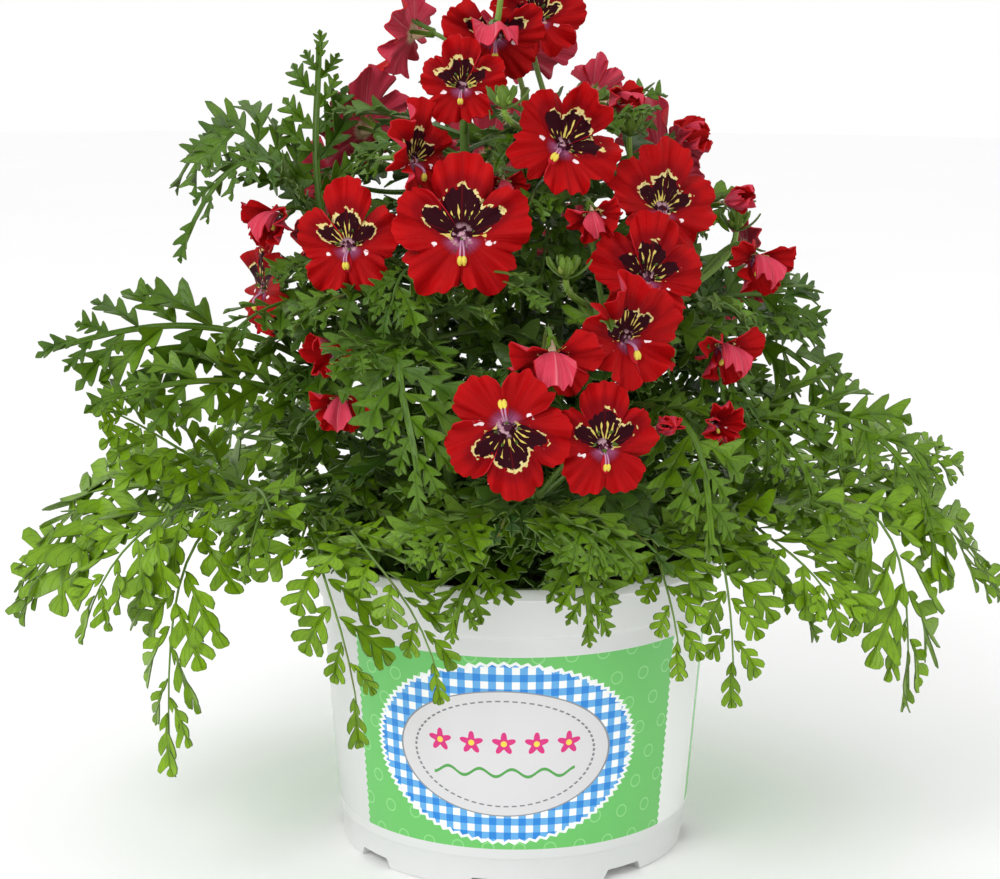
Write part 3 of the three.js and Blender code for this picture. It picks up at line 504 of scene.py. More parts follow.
# %% The pot's two plastics, white outside and black inside
def pot_plastic():
    """Thermoformed polypropylene, white and satin, with a printed film round its middle."""
    material, tree, shader = new_material("white_polypropylene", 0.32)
    place = add(tree, "TexCoord", out="Object")
    east, north, height = (add(tree, "SeparateXYZ", place, out=axis) for axis in "XYZ")
    front = add(tree, TIMES, north, -1.0)
    angle = add(tree, ANGLE, east, front)
    u = add(tree, TIMES_PLUS, angle, LABEL_RADIUS, -LABEL_MIDDLE[0])
    v = add(tree, TIMES_PLUS, height, 1 / MM, -LABEL_MIDDLE[1])
    half = (LABEL_TOP_Z - LABEL_FOOT_Z) / 2
    level = LABEL_MIDDLE[1] - (LABEL_TOP_Z + LABEL_FOOT_Z) / 2
    band = add(tree, NEAR, v, -level, half)
    rough = add(tree, TIMES_PLUS, band, -0.08, 0.34)
    tree.links.new(rough, shader.inputs["Roughness"])
    smudge = add(tree, "TexNoise", {"Vector": place, "Scale": 1 / (18 * MM), "Detail": 3.0})
    pull = add(tree, "VectorMath", place, (1.0, 1.0, 0.2), operation="MULTIPLY")
    draw_lines = add(tree, "TexNoise", {"Vector": pull, "Scale": 1 / (4 * MM), "Detail": 2.0})
    layers = [(smudge, "D9DAD9"), (band, printed_label(tree, u, v))]
    paint(tree, shader, "E2E3E2", layers, draw_lines, 0.12, 0.5)
    return material


white_plastic = pot_plastic()
black_plastic, tree, shader = new_material("black_inner_polypropylene", 0.5, "161514")
dust = add(tree, "TexNoise", {"Scale": 1 / (3 * MM), "Detail": 5.0})
paint(tree, shader, "0E0D0C", [(dust, "2B2622")])
print("label band", round(LABEL_TOP_Z - LABEL_FOOT_Z, 1), "mm high, gingham repeat", GINGHAM, "mm")

# %% [markdown]
# The pot's wall is a profile turned round the axis. In the sheet's own way, eight channels run in
# from the foot so that water can leave: each is a ridge on the floor inside and a groove below,
# with a drain hole in its roof. They are joined and cut with boolean modifiers, which keeps the
# wall one closed body, and the modifiers are applied so that the mesh itself has the shape.

# %% Pot shell
POT_SIDES = 112
DRAIN_SIDES = 20
BELOW_FLOOR, ABOVE_RIDGE = -1, 11


def pot_wall(z):
    """The wall's outer radius at a height, between the foot band and the collar."""
    share = (z - FOOT_BAND_Z) / (COLLAR_FOOT_Z - FOOT_BAND_Z)
    return FOOT_RADIUS + FOOT_BAND_STEP + WALL_TAPER * share


def turned(profile, sides):
    """Rings round the axis, one for each radius and height of a profile."""
    angle = np.linspace(0, 2 * math.pi, sides, endpoint=False)
    circle = np.stack([np.cos(angle), np.sin(angle), 0 * angle], -1)
    return np.array([circle * radius + UP * z for radius, z in profile])


collar = pot_wall(COLLAR_FOOT_Z)
POT_PROFILE = [
    (1, 0),
    (FOOT_RADIUS - 0.5, 0),
    (FOOT_RADIUS, 0.5),
    (FOOT_RADIUS + 0.7, FOOT_BAND_Z - 0.6),
    (FOOT_RADIUS + 0.9, FOOT_BAND_Z - 0.3),
    (pot_wall(FOOT_BAND_Z) - 0.1, FOOT_BAND_Z),
    (pot_wall(FOOT_BAND_Z), FOOT_BAND_Z + 0.3),
    (pot_wall(42), 42),
    (collar, COLLAR_FOOT_Z),
    (collar + 0.4, COLLAR_FOOT_Z + 0.2),
    (collar + COLLAR_STEP - 0.2, COLLAR_FOOT_Z + 1),
    (collar + COLLAR_STEP, COLLAR_FOOT_Z + 1.5),
    (RIM_RADIUS - 1, POT_HEIGHT - 3.8),
    (RIM_RADIUS - 0.8, POT_HEIGHT - 3.5),
    (RIM_RADIUS - 0.2, POT_HEIGHT - 3.3),
    (RIM_RADIUS, POT_HEIGHT - 3),
    (RIM_RADIUS, POT_HEIGHT - 0.6),
    (RIM_RADIUS - 0.3, POT_HEIGHT - 0.1),
    (RIM_RADIUS - 0.7, POT_HEIGHT),
    (RIM_RADIUS - WALL - 0.4, POT_HEIGHT),
    (RIM_RADIUS - WALL - 0.9, POT_HEIGHT - 0.3),
    (collar + COLLAR_STEP - WALL, COLLAR_FOOT_Z + 1.7),
    (collar - WALL, COLLAR_FOOT_Z + 0.4),
    (FOOT_RADIUS - WALL, FLOOR),
    (1, FLOOR),
]


def turned_about(points, degrees):
    """Points turned about the pot's axis."""
    c, s = math.cos(math.radians(degrees)), math.sin(math.radians(degrees))
    return points @ np.array([[c, s, 0], [-s, c, 0], [0, 0, 1]])


def channel_bar(degrees, extra, bottom, top, near, far):
    """A channel's trapezoid bar, which points out from the axis between two distances."""
    half = NOTCH_WIDTH / 2 + extra
    shape = [(-half, bottom), (half, bottom), (half - 2, top), (-half + 2, top)]
    rings = np.array([[(x, -far_end, z) for x, z in shape] for far_end in (near, far)])
    bar = Body()
    bar.skin(turned_about(rings, degrees), 0)
    return bar.make("bar", [white_plastic])


def carve(piece, tool, operation):
    """Joins a tool to a piece or cuts it away, and throws the tool away."""
    step = piece.modifiers.new("step", "BOOLEAN")
    step.operation, step.solver, step.object = operation, "MANIFOLD", tool
    evaluated = piece.evaluated_get(bpy.context.evaluated_depsgraph_get())
    after = bpy.data.meshes.new_from_object(evaluated)
    piece.modifiers.clear()
    piece.data = after
    bpy.data.objects.remove(tool)


shell = Body()
shell.skin(turned(POT_PROFILE, POT_SIDES), 0)
pot = shell.make("pot_shell", [white_plastic, black_plastic])
headings = [FIRST_NOTCH_DEG + 360 / NOTCHES * i for i in range(NOTCHES)]
RIDGE_TOP = NOTCH_HEIGHT + WALL
for degrees in headings:
    ridge = channel_bar(degrees, WALL, FLOOR / 2, RIDGE_TOP, CHANNEL_REACH, FOOT_RADIUS - 0.7)
    carve(pot, ridge, "UNION")
for degrees in headings:
    groove = channel_bar(degrees, 0, BELOW_FLOOR, NOTCH_HEIGHT, CHANNEL_REACH + WALL, RIM_RADIUS)
    carve(pot, groove, "DIFFERENCE")
    ends = [(DRAIN_RADIUS, BELOW_FLOOR), (DRAIN_RADIUS, ABOVE_RIDGE)]
    hole = turned(ends, DRAIN_SIDES) - [0, DRAIN_REACH, 0]
    drain = Body()
    drain.skin(turned_about(hole, degrees), 0)
    carve(pot, drain.make("drain", [white_plastic]), "DIFFERENCE")
for face in pot.data.polygons:
    out = Vector((face.center.x, face.center.y, 0)).normalized()
    inward = face.normal.dot(out) < -0.2 and face.center.z > FLOOR * MM
    on_floor = face.normal.z > 0.5 and face.center.z < COLLAR_FOOT_Z * MM / 2
    face.material_index = int(inward or on_floor)
pot.data.shade_smooth()
pot.data.set_sharp_from_angle(angle=math.radians(32))
dress(pot, "pot")
print("pot shell:", triangles["pot_shell"], "triangles")

# %% [markdown]
# The potting mix is damp peat with bark and a little white grit. Its fine crumb is below what a
# view of the whole pot can show, so it is drawn coarser: lumps a few millimetres across in the
# mesh, loose crumbs lying on it, and noise for the rest.

# %% Potting mix
SOIL_TOP = 79
SOIL_DOME = 2
CRUMBS = 260
GAP = 0.3


def peat():
    """Peat and bark: matt, almost black where damp, with brown fibre and a few pale grains."""
    material, tree, shader = new_material("damp_peat_mix", 0.85)
    place = add(tree, "TexCoord", out="Object")
    coarse, fine = (
        add(tree, "TexNoise", {"Vector": place, "Scale": 1 / (size * MM), "Detail": detail})
        for size, detail in ((4, 6.0), (1.2, 5.0))
    )
    cells = add(tree, "TexVoronoi", {"Vector": place, "Scale": 1 / (3 * MM)}, out="Color")
    pick = add(tree, "SeparateXYZ", cells, out="X")
    grit = add(tree, ABOVE, pick, 0.93)
    paint(tree, shader, "120C08", [(coarse, "4A3626"), (grit, "8F7F68")], fine, 0.8)
    return material


def lumps(x, y):
    """The height of the soil's lumps at a place, from a few crossing waves."""
    long = np.sin(x * 0.9 + 1) * np.cos(y * 0.8) + 0.6 * np.sin(x * 0.37 - y * 0.45)
    short = np.sin(x * 1.9 - y * 1.3) * np.sin(y * 2.1 + x * 0.7 + 2)
    return 0.7 * long + 0.45 * short


slack = GAP + 0.25
bottom = RIDGE_TOP + GAP
soil_edge = collar - WALL - slack + COLLAR_STEP


def mound(reach):
    """The height of the soil at a distance from the axis, before its lumps."""
    return SOIL_TOP + SOIL_DOME * (1 - (reach / soil_edge) ** 2)


soil = Body()
top_radii = np.linspace(soil_edge, 1, 34)
soil_profile = [
    (1, bottom),
    (FOOT_RADIUS - WALL - slack, bottom),
    (collar - WALL - slack, COLLAR_FOOT_Z + 0.4),
    (soil_edge, COLLAR_FOOT_Z + 2),
    *zip(top_radii, mound(top_radii)),
]
rings = turned(soil_profile, 120)
top = rings[4:]
top[..., 2] += lumps(top[..., 0], top[..., 1])
soil.skin(rings, 0)
crumb_rng = np.random.default_rng(5)
crumb_heights = (-0.8, -0.3, 0.35, 0.8)
for _ in range(CRUMBS):
    reach = (soil_edge - 3) * math.sqrt(crumb_rng.uniform(0.12, 1))
    angle = crumb_rng.uniform(0, 2 * math.pi)
    x, y = reach * math.cos(angle), reach * math.sin(angle)
    z = mound(reach) + lumps(x, y)
    size = crumb_rng.uniform(0.7, 2.1)
    crumb = turned([(math.sqrt(1 - h * h), h) for h in crumb_heights], 7)
    crumb *= crumb_rng.uniform(0.7, 1.15, crumb.shape[:2])[..., None] * size
    soil.skin(crumb + [x, y, z], 0)
potting_mix = soil.make("potting_mix", [peat()], 60)
dress(potting_mix, "soil")
print("potting mix:", triangles["potting_mix"], "triangles, top at", SOIL_TOP, "mm")

# %% [markdown]
# Leaf tissue is a waxy skin over green flesh. It is satin rather than glossy, a little uneven in
# colour, and its midrib and side veins show as fine lines. The upper leaves are deep green, and
# the low ones, which hang out in the light, are a fresh yellow-green with a thin dark edge. So
# each leaf carries a tone from 0 to 1, and the finish mixes its colours by that.


# %% Leaf finishes
def veined_leaf(name, deep, fresh, line, shine):
    """Leaf skin that goes from deep to fresh by its tone, with its veins in another colour."""
    material, tree, shader = new_material(name, shine, IOR=1.42, Specular_IOR_Level=0.42)
    place = add(tree, "TexCoord", out="Object")
    tone, side, along = (
        add(tree, "Attribute", out="Fac", attribute_name=key) for key in ("tone", "across", "along")
    )
    blotches, pores = (
        add(tree, "TexNoise", {"Vector": place, "Scale": 1 / (size * MM), "Detail": detail})
        for size, detail in ((6, 4.0), (1.5, 3.0))
    )
    across = add(tree, SIZE, side)
    skin = add(tree, MIX, {0: tone, 6: deep, 7: fresh})
    shade = add(tree, SMOOTH, blotches, 0.35, 0.7, 0.0, 0.55)
    darker = add(tree, MIX, {0: 1.0, 6: skin, 7: "A9B58A"}, blend_type="MULTIPLY")
    rim = add(tree, SMOOTH, across, 0.86, 1.0, 0.0, 0.22)
    midrib = add(tree, SMOOTH, across, 0.16, 0.04)
    sweep = add(tree, TIMES_PLUS, across, -0.3, along)
    branch = add(tree, PINGPONG, add(tree, TIMES, sweep, 9.0), 0.5)
    branch = add(tree, SMOOTH, branch, 0.12, 0.03, 0.0, 0.5)
    veins = add(tree, "Math", midrib, branch, operation="MAXIMUM")
    share = add(tree, TIMES, veins, 0.4)
    height = add(tree, TIMES_PLUS, veins, -0.8, pores)
    layers = [(shade, darker), (rim, "2C3D12"), (share, line)]
    paint(tree, shader, skin, layers, height, 0.16)
    return material


leaf_top = veined_leaf("waxy_leaf_upper_side", "20460C", "82AC10", "1A360C", 0.38)
leaf_under = veined_leaf("matt_leaf_underside", "3A5E26", "8CB030", "A4BC74", 0.6)
leaf_edge = new_material("dark_leaf_edge", 0.55, "4C661E")[0]


def green_stem():
    """Juicy green stem: satin, faintly streaked, and flushed brown in places."""
    material, tree, shader = new_material("juicy_green_stem", 0.42, IOR=1.42)
    place = add(tree, "TexCoord", out="Object")
    tone = add(tree, "Attribute", out="Fac", attribute_name="tone")
    patches, pores = (
        add(tree, "TexNoise", {"Vector": place, "Scale": 1 / (size * MM), "Detail": 3.0})
        for size in (14, 0.8)
    )
    flush = add(tree, SMOOTH, patches, 0.52, 0.72, 0.0, 0.5)
    paint(tree, shader, "3F5F26", [(tone, "86AC42"), (flush, "6B4A2E")], pores, 0.12)
    return material


FOLIAGE_LOOKS = [leaf_top, leaf_under, leaf_edge, green_stem()]
FOLIAGE_LOOKS.append(new_material("sticky_hair", 0.35, "C9D6A4")[0])
BLADE_LOOKS = (0, 1, 2)
STEM_LOOK = 3
HAIR_LOOK = 4
print("leaf finishes:", [look.name for look in FOLIAGE_LOOKS])

# %% [markdown]
# A leaf is a rib that arches out from the stem, with leaflets in pairs. The upper leaves are cut
# nearly to the rib, and their leaflets again into narrow lobes. The hanging ones are more like a
# fern: a thin rib, and rounder leaflets on short stalks. One formula gives both, with different
# numbers: rays spread from a bent midrib, and each lobe says how far they reach, with one lobe at
# the end. A leaflet that would run into a bloom, the pot, a stem or a leaf of another stem is
# lifted or shortened, and left out where nothing helps.

# %% A leaf's rib, and the place of any point by its distance along and across it
LEAF_DROOP = 0.12
PETIOLE = 0.2


class Leaf:
    """A leaf's rib, half width and turn about it, in millimetres and degrees."""

    def __init__(self, foot, tip, reach, lift, turn, half, sway=0.0):
        foot, tip = np.array(foot, float), np.array(tip, float)
        knee = foot + reach * (np.array([tip[0], tip[1], foot[2]]) - foot)
        knee[2] += lift
        self.rib, self.half, self.turn = Curve(foot, knee, tip), half, math.radians(turn)
        self.left = np.cross(UP, unit(np.array([*(tip - foot)[:2], 0.0])))
        self.sway = sway

    def place(self, along, across, lift):
        along, across, lift = np.broadcast_arrays(along, across, lift)
        t = np.clip(along / self.rib.length, 0, 1)
        way = self.rib.way(t)
        normal = np.cross(way, self.left)
        c, s = math.cos(self.turn), math.sin(self.turn)
        side, normal = self.left * c + normal * s, normal * c - self.left * s
        over = (along - t * self.rib.length)[..., None]
        rise = (lift - LEAF_DROOP * across**2 / self.half)[..., None]
        aside = (across + self.sway * np.sin(math.pi * t * 1.4))[..., None]
        return self.rib.at(t) + way * over + side * aside + normal * rise


# %% Leaflets: an outline as shares of the length, and how it is cut into lobes
# A lobe is pairs of a place along it and a reach. rake, fan and the ends' spread are in degrees.
POINTED_LOBE = ((0, 0), (0.14, 0.36), (0.3, 0.82), (0.46, 1), (0.62, 0.76), (0.84, 0.26))
COARSE_LOBE = ((0, 0), (0.25, 0.75), (0.5, 1), (0.78, 0.6))
ROUND_LOBE = (
    (0, 0), (0.1, 0.5), (0.25, 0.88), (0.38, 0.94), (0.5, 1), (0.64, 0.92), (0.82, 0.82), (1, 0),
)
POINTED_END = ((0, 0.4), (0.3, 1), (0.62, 0.62), (1, 0.06))
ROUND_END = ((0, 0.35), (0.18, 0.8), (0.42, 1), (0.7, 0.85), (0.88, 0.5), (1, 0.06))
CUT = dict(
    outline=((0, 0.15, 0.4, 0.7, 1), (0.5, 0.75, 1, 0.9, 0.6)), lobe=POINTED_LOBE, lobes=3,
    depth=0.8, rake=42, foot=0.85, fan=12, width=0.36, end=POINTED_END, tip=0.1, first=60, last=36,
    wing=1.1, rib=0.65, taper=0.3, more=2, swell=1.26,
)
FERN = dict(
    outline=((0, 0.2, 0.45, 0.7, 1), (0.15, 0.6, 1, 0.95, 0.6)), lobe=ROUND_LOBE, lobes=3,
    depth=0.82, rake=48, foot=0.66, fan=24, width=0.36, end=ROUND_END, tip=0.13, first=64, last=42,
    wing=0.0, rib=0.5, taper=0.2, more=2, swell=1.18,
)
SMALL = CUT | dict(lobe=COARSE_LOBE, lobes=2, width=0.4, more=0)
BLADE_THICKNESS = 0.35
ACROSS = np.array([[-1.0, 0.0, 1.0]])
LEAFLET_BEND = math.radians(20)
END_SPREAD = 14
END_FOOT, END_LENGTH, END_REACH = 0.1, 0.8, 0.9
# What is tried in turn where a leaflet runs into something: a lift in mm and a share of its length.
TRIES = ((0, 1), (2.5, 1), (-2.5, 1), (5, 0.9), (-5, 0.9), (3, 0.66), (-3, 0.66), (0, 0.42))


def leaflet(leaf, start, way, slant, length, style, lift, habit):
    """The points of one leaflet, which leaves the rib at start, with u along it and v across."""
    phase, roll, curl = habit
    count, foot, fan = style["lobes"], style["foot"], style["fan"]
    total = count + END_REACH
    lobes = [
        ((i + 0.5 + (x - 0.5) * foot) / total, 1 - style["depth"] * (1 - y), fan * (0.5 - x))
        for i in range(count) for x, y in style["lobe"]
    ]
    u, wide, spread = np.array(lobes).T
    wide = style["width"] * wide * np.interp(u, *style["outline"])
    end = [
        ((count + END_FOOT + END_LENGTH * x) / total, style["tip"] * y, END_SPREAD)
        for x, y in style["end"]
    ]
    u, wide, spread = np.vstack([np.array([u, wide, spread]).T, end]).T[..., None]
    v = ACROSS
    seat = np.clip(u + 0.06 * phase * v * (1 - u), 0, 1)
    first = math.radians(slant)
    angle = first - LEAFLET_BEND * seat
    width = length * wide * np.abs(v)
    ray = angle + v * np.radians(style["rake"] + spread)
    along = length * (math.sin(first) - np.sin(angle)) / LEAFLET_BEND + width * np.cos(ray)
    across = length * (np.cos(angle) - math.cos(first)) / LEAFLET_BEND + width * np.sin(ray)
    wave = np.sin(math.tau * (1.3 * u + phase)) * 0.3 * width
    rise = lift * u**2 + wave + (0.3 + roll * v) * width - curl * length * u**2
    return leaf.place(start + along, way * (0.3 + across), rise), u, v


# %% What is in place already, as trees of triangles that a new leaflet is tested against
in_place = []


def settle(points, faces, owner):
    """Puts a mesh among what is in place, with its box and whose it is."""
    tree = BVHTree.FromPolygons(points.tolist(), faces)
    in_place.append((points.min(axis=0), points.max(axis=0), tree, owner))


def runs_into(grid, owner):
    """Whether a leaflet crosses anything but its own stem and the leaves on it."""
    points = grid.reshape(-1, 3)
    low, high = points.min(axis=0), points.max(axis=0)
    near = [
        tree for bottom, top, tree, who in in_place
        if who != owner and (bottom < high).all() and (low < top).all()
    ]
    if not near:
        return False
    mine = BVHTree.FromPolygons(points.tolist(), squares(*grid.shape[:2])[1].tolist())
    return any(mine.overlap(tree) for tree in near)


for name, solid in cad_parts.items():
    if name.startswith(("pot", "bloom", "bud")):
        places = np.array([v.co for v in solid.data.vertices]) / MM
        settle(places, [list(p.vertices) for p in solid.data.polygons], name)
for i, curve in enumerate(stem_curves):
    post = Body()
    post.rod(curve, np.full(8, 1.8), 5, 0)
    settle(post.points[0], post.faces, i)
print("solids to keep clear of:", len(in_place))

# %% One leaf
PAIR_STAGGER = 0.18
END_SIZE, END_TURN = 0.62, 9
RIB_RINGS, RIB_END = 14, 0.97


def grow_leaf(body, owner, leaf, pairs, style, tone, rng, solid=True):
    """Leaflets in pairs and one at the end, on a rib. Later leaves keep clear of a solid one."""
    length = leaf.rib.length
    spacing = length * (1 - PETIOLE) / (pairs + 0.6)
    half_lobe = len(style["lobe"]) // 2
    grown = []
    for i in range(2 * pairs + 1):
        share = (i // 2 + 0.5) / pairs
        swell = 0.62 + 0.38 * math.sin(math.pi * min(1, share * 1.05))
        size = leaf.half * swell * (1 - style["taper"] * share * share) * style["swell"]
        slant = style["first"] + (style["last"] - style["first"]) * share
        way = 1 if i % 2 else -1
        start = length * PETIOLE + (i // 2 + PAIR_STAGGER * way + rng.uniform(-0.1, 0.1)) * spacing
        turn, habit = slant + rng.uniform(-10, 10), rng.uniform((-1, -0.5, 0.0), (1, 0.5, 0.28))
        reach, tint = size * rng.uniform(0.78, 1.12), tone + rng.uniform(-0.12, 0.12)
        if i == 2 * pairs:
            turn, reach = END_TURN, leaf.half * END_SIZE
            start = length - 0.8 * reach
        for lift, shrink in TRIES:
            grid, u, v = leaflet(leaf, start, way, turn, reach * shrink, style, lift, habit)
            if not runs_into(grid[::half_lobe], owner):
                values = dict(along=u, across=v, tone=tint)
                body.blade(grid[:, ::way], BLADE_THICKNESS, BLADE_LOOKS, **values)
                grown.append(grid[::half_lobe])
                break
    if style["wing"] and solid:
        t = np.linspace(0, 1, RIB_RINGS)[:, None]
        along = length * (PETIOLE + (RIB_END - PETIOLE) * t)
        wing = style["wing"] * (1 - 0.3 * t)
        grid = leaf.place(along, ACROSS * wing, 0.15 * np.abs(ACROSS) + 0 * along)
        body.blade(grid, BLADE_THICKNESS, BLADE_LOOKS, along=t, across=ACROSS, tone=tone)
    t = np.linspace(0, RIB_END, RIB_RINGS)
    thin = style["rib"] * (1.2 - 0.8 * t)
    body.rod_through(leaf.place(t * length, 0.0, -0.1), thin, 5, STEM_LOOK, tone=0.5 * tone)
    for grid in grown if solid else ():
        settle(grid.reshape(-1, 3), squares(*grid.shape[:2])[1].tolist(), owner)


# %% The leaves that the solids have, and the ruled ones
def ruled_leaves(rule):
    """The leaves of one row of the table above, from the stem's foot to its tip."""
    curve = stem_curves[rule["stem"]]
    outward = rule.get("aim", math.degrees(math.atan2(curve.c[1], curve.c[0])))
    made = []
    for i in range(rule["count"]):
        share = i / (rule["count"] - 1)
        at = rule["span"][0] + (rule["span"][1] - rule["span"][0]) * share
        swing = (1 if i % 2 else -1) * rule["spread"] * (1 - 0.55 * share) + 12 * (draw() - 0.5)
        angle = math.radians(outward + swing)
        length = rule["length"] * (1 - 0.18 * share) * (0.92 + 0.16 * draw())
        foot = curve.at(at)
        fall = rule["sink"] * (0.7 + 0.6 * draw())
        tip = foot + [length * math.cos(angle), length * math.sin(angle), -fall]
        turn = 16 * (draw() - 0.5)
        same = {key: rule[key] for key in ("stem", "lift", "half")}
        made.append(same | dict(at=at, tip=tip, reach=0.6, turn=turn))
    return made


all_leaves = LEAVES + [leaf for rule in MORE_LEAVES for leaf in ruled_leaves(rule)]
print("leaves in the solids:", len(all_leaves))


def leaf_tone(leaf, z):
    """The low leaves are fresh, and the high ones deep."""
    if STEMS[leaf["stem"]].get("fern"):
        return 0.9 - 0.2 * min(1, max(0, (z - 60) / 80))
    return float(np.interp(z, (80, 110, 150, 230), (0.75, 0.5, 0.25, 0.3)))


# %% [markdown]
# Each leafy stem is one living piece: the stem, its leaves, the stalks of its flowers with a
# calyx of five narrow sepals, and the tight green heads. A few leaves more, one by one, close the
# gaps between the blooms. Small leaves fill the inside of the dome, by one seeded rule, and short
# sticky hairs stand on the stalks.

# %% Flower directions, for stalks and corollas alike
BLOOM_SAG = 0.13
SHUT_LEAN = 24
OPEN_LEAN = 62


class Bloom:
    """Where a bloom is, which way it faces, and the place of any point on it."""

    def __init__(self, piece):
        az, el, roll = (math.radians(piece[key]) for key in ("az", "el", "roll"))
        level = math.cos(el)
        self.front = np.array([math.sin(az) * level, -math.cos(az) * level, math.sin(el)])
        right = unit(np.cross(UP, self.front))
        up = np.cross(self.front, right)
        self.up = up * math.cos(roll) + right * math.sin(roll)
        self.right = np.cross(self.up, self.front)
        self.centre = np.array(piece["c"], float)
        self.size, self.open, self.hood = piece["size"], piece["open"], piece.get("hood", 0)
        self.radius = BLOOM_RADIUS * self.size
        self.foot = self.centre - self.front * (BLOOM_TUBE * self.size + GAP)

    def place(self, reach, degrees, back=0.0, lift=0.0, hood=0.0):
        """A point by its reach from the throat, its bearing from the top, and its lift."""
        reach, degrees, lift = np.broadcast_arrays(reach, degrees, lift)
        cup = BUD_CUP * max(0, 0.6 - self.open)
        lean = SHUT_LEAN + OPEN_LEAN * self.open + back * reach - cup * reach**2
        lean = np.radians(lean)[..., None]
        bearing = np.radians(degrees)[..., None]
        out = self.up * np.cos(bearing) + self.right * np.sin(bearing)
        away = (reach * self.radius)[..., None]
        ahead = away * np.cos(lean) * (1 - 0.3 * reach[..., None] * self.open)
        normal = self.front * np.sin(lean) - out * np.cos(lean)
        sag = self.up * BLOOM_SAG * self.radius * self.open * (1 - np.minimum(1, reach))[..., None]
        offset = out * away * np.sin(lean) + self.front * ahead + normal * lift[..., None]
        fold = np.radians(HOOD_FOLD * hood * reach)
        high, forward = offset @ self.up, offset @ self.front
        rise = high * (np.cos(fold) - 1) - forward * np.sin(fold)
        advance = high * np.sin(fold) + forward * (np.cos(fold) - 1)
        offset = offset + rise[..., None] * self.up + advance[..., None] * self.front
        return self.centre + offset - sag


# %% Stalks, sepals, hairs and heads
SEPALS = 5
STEM_HAIRS, STALK_HAIRS, HEAD_HAIRS = 60, 34, 40
HEAD_RADIUS = 8.5
BRACTS = 14
GREEN_BUDS = 4
SPIRAL = 2.4


def hairs(body, curve, radius, count, rng):
    """Short hairs that stand out from a stalk of some radius, all round it."""
    for t in rng.uniform(0.1, 0.98, count):
        base, way = curve.at(t), curve.way(t)
        out = unit(np.cross(way, rng.normal(size=3)))
        tip = base + out * (radius + rng.uniform(0.7, 1.3)) + way * 0.2
        body.rod(Curve(base, (base + tip) / 2, tip), (0.06, 0.02), 3, HAIR_LOOK, tone=0.5)


def grow_stalk(body, piece, tone, rng):
    """A flower's stalk, which ends in a calyx of narrow sepals round a small cup."""
    bloom = Bloom(piece)
    start = stem_curves[piece["stem"]].at(piece["at"])
    knee = bloom.foot - bloom.front * 0.45 * np.linalg.norm(bloom.foot - start)
    stalk = Curve(start, knee, bloom.foot)
    body.rod(stalk, np.linspace(0.85, 0.62, 12), 7, STEM_LOOK, tone=tone)
    hairs(body, stalk, 0.6, STALK_HAIRS, rng)
    size = min(1, bloom.size + 0.25)
    for k in range(SEPALS):
        bearing = math.radians(36 + 360 / SEPALS * k)
        out = bloom.up * math.cos(bearing) + bloom.right * math.sin(bearing)
        side = np.cross(out, bloom.front)
        u, v = np.linspace(0, 1, 9)[:, None], ACROSS
        spread = (1.15 + 1.0 * u + 1.2 * u**3) * size
        width = 0.72 * size * np.interp(u, (0, 0.25, 0.7, 1), (1, 0.8, 0.9, 0.15))
        ahead = (7.2 * u - 0.4) * size - 0.2
        grid = bloom.foot + (ahead + 0 * v)[..., None] * bloom.front
        grid = grid + (spread - 0.15 * v * v)[..., None] * out + (v * width)[..., None] * side
        body.blade(grid, BLADE_THICKNESS, BLADE_LOOKS, along=u, across=v, tone=tone + 0.1)
    cup = Curve(bloom.foot - bloom.front * 1.2, bloom.foot, bloom.foot + bloom.front * 0.15)
    body.rod(cup, (0.6, 1.3 * size, 1.5 * size, 1.2 * size), 8, STEM_LOOK, tone=tone)


def grow_head(body, head, rng):
    """A tight head: small bracts in a rosette round a few green buds."""
    centre = np.array(head["c"], float)
    start = stem_curves[head["stem"]].at(head["at"])
    stalk = Curve(start, (centre[0], centre[1], (start[2] + centre[2]) / 2), centre)
    body.rod(stalk, np.linspace(1.1, 0.8, 10), 7, STEM_LOOK, tone=0.75)
    hairs(body, stalk, 0.8, HEAD_HAIRS, rng)
    for k in range(BRACTS):
        bearing = SPIRAL * k + rng.uniform(-0.2, 0.2)
        share = (k + 1) / BRACTS
        climb = math.radians(4 + 44 * share)
        length = HEAD_RADIUS * (1.0 - 0.55 * share)
        level = np.array([math.cos(bearing), math.sin(bearing), 0])
        side = np.cross(UP, level)
        u, v = np.linspace(0, 1, 9)[:, None], ACROSS
        width = 0.16 * length * np.interp(u, (0, 0.35, 0.75, 1), (0.4, 0.6, 1, 0.3))
        bend = climb + 0.5 * u
        grid = centre + UP * 1.6 * share + (u * length * np.cos(bend))[..., None] * level
        grid = grid + (u * length * np.sin(bend) + 0.3 * v * v)[..., None] * UP
        grid = grid + (v * width)[..., None] * side
        values = dict(along=u, across=v, tone=0.35 + 0.3 * share)
        body.blade(grid, BLADE_THICKNESS, BLADE_LOOKS, **values)
    for k in range(GREEN_BUDS):
        bearing = 1.7 * k + 0.5
        lean = np.array([math.cos(bearing), math.sin(bearing), 1.5])
        base = centre + lean
        bud = Curve(base, base + 0.7 * lean, base + 1.4 * lean)
        body.rod(bud, (0.4, 0.8, 0.95, 0.85, 0.6, 0.2), 8, STEM_LOOK, tone=0.9)


# %% Leaves that close the gaps between the blooms: stem, place on it and tip
FILL_LEAVES = table(
    "stem at tip",
    (6, 0.9, (-62, -42, 168)),
    (6, 0.8, (-78, -46, 152)),
    (2, 0.86, (-58, -60, 158)),
    (2, 0.92, (6, -76, 166)),
    (2, 0.95, (-34, -66, 158)),
    (1, 0.8, (2, -56, 186)),
    (3, 0.9, (36, -74, 146)),
    (0, 0.85, (-44, -30, 196)),
    (1, 0.9, (34, -32, 212)),
    (1, 0.72, (6, -34, 160)),
    (1, 0.64, (-14, -30, 150)),
    (4, 0.84, (58, -22, 138)),
    (4, 0.7, (64, -34, 128)),
    (6, 0.72, (-52, -28, 146)),
    (6, 0.6, (-66, -30, 134)),
)

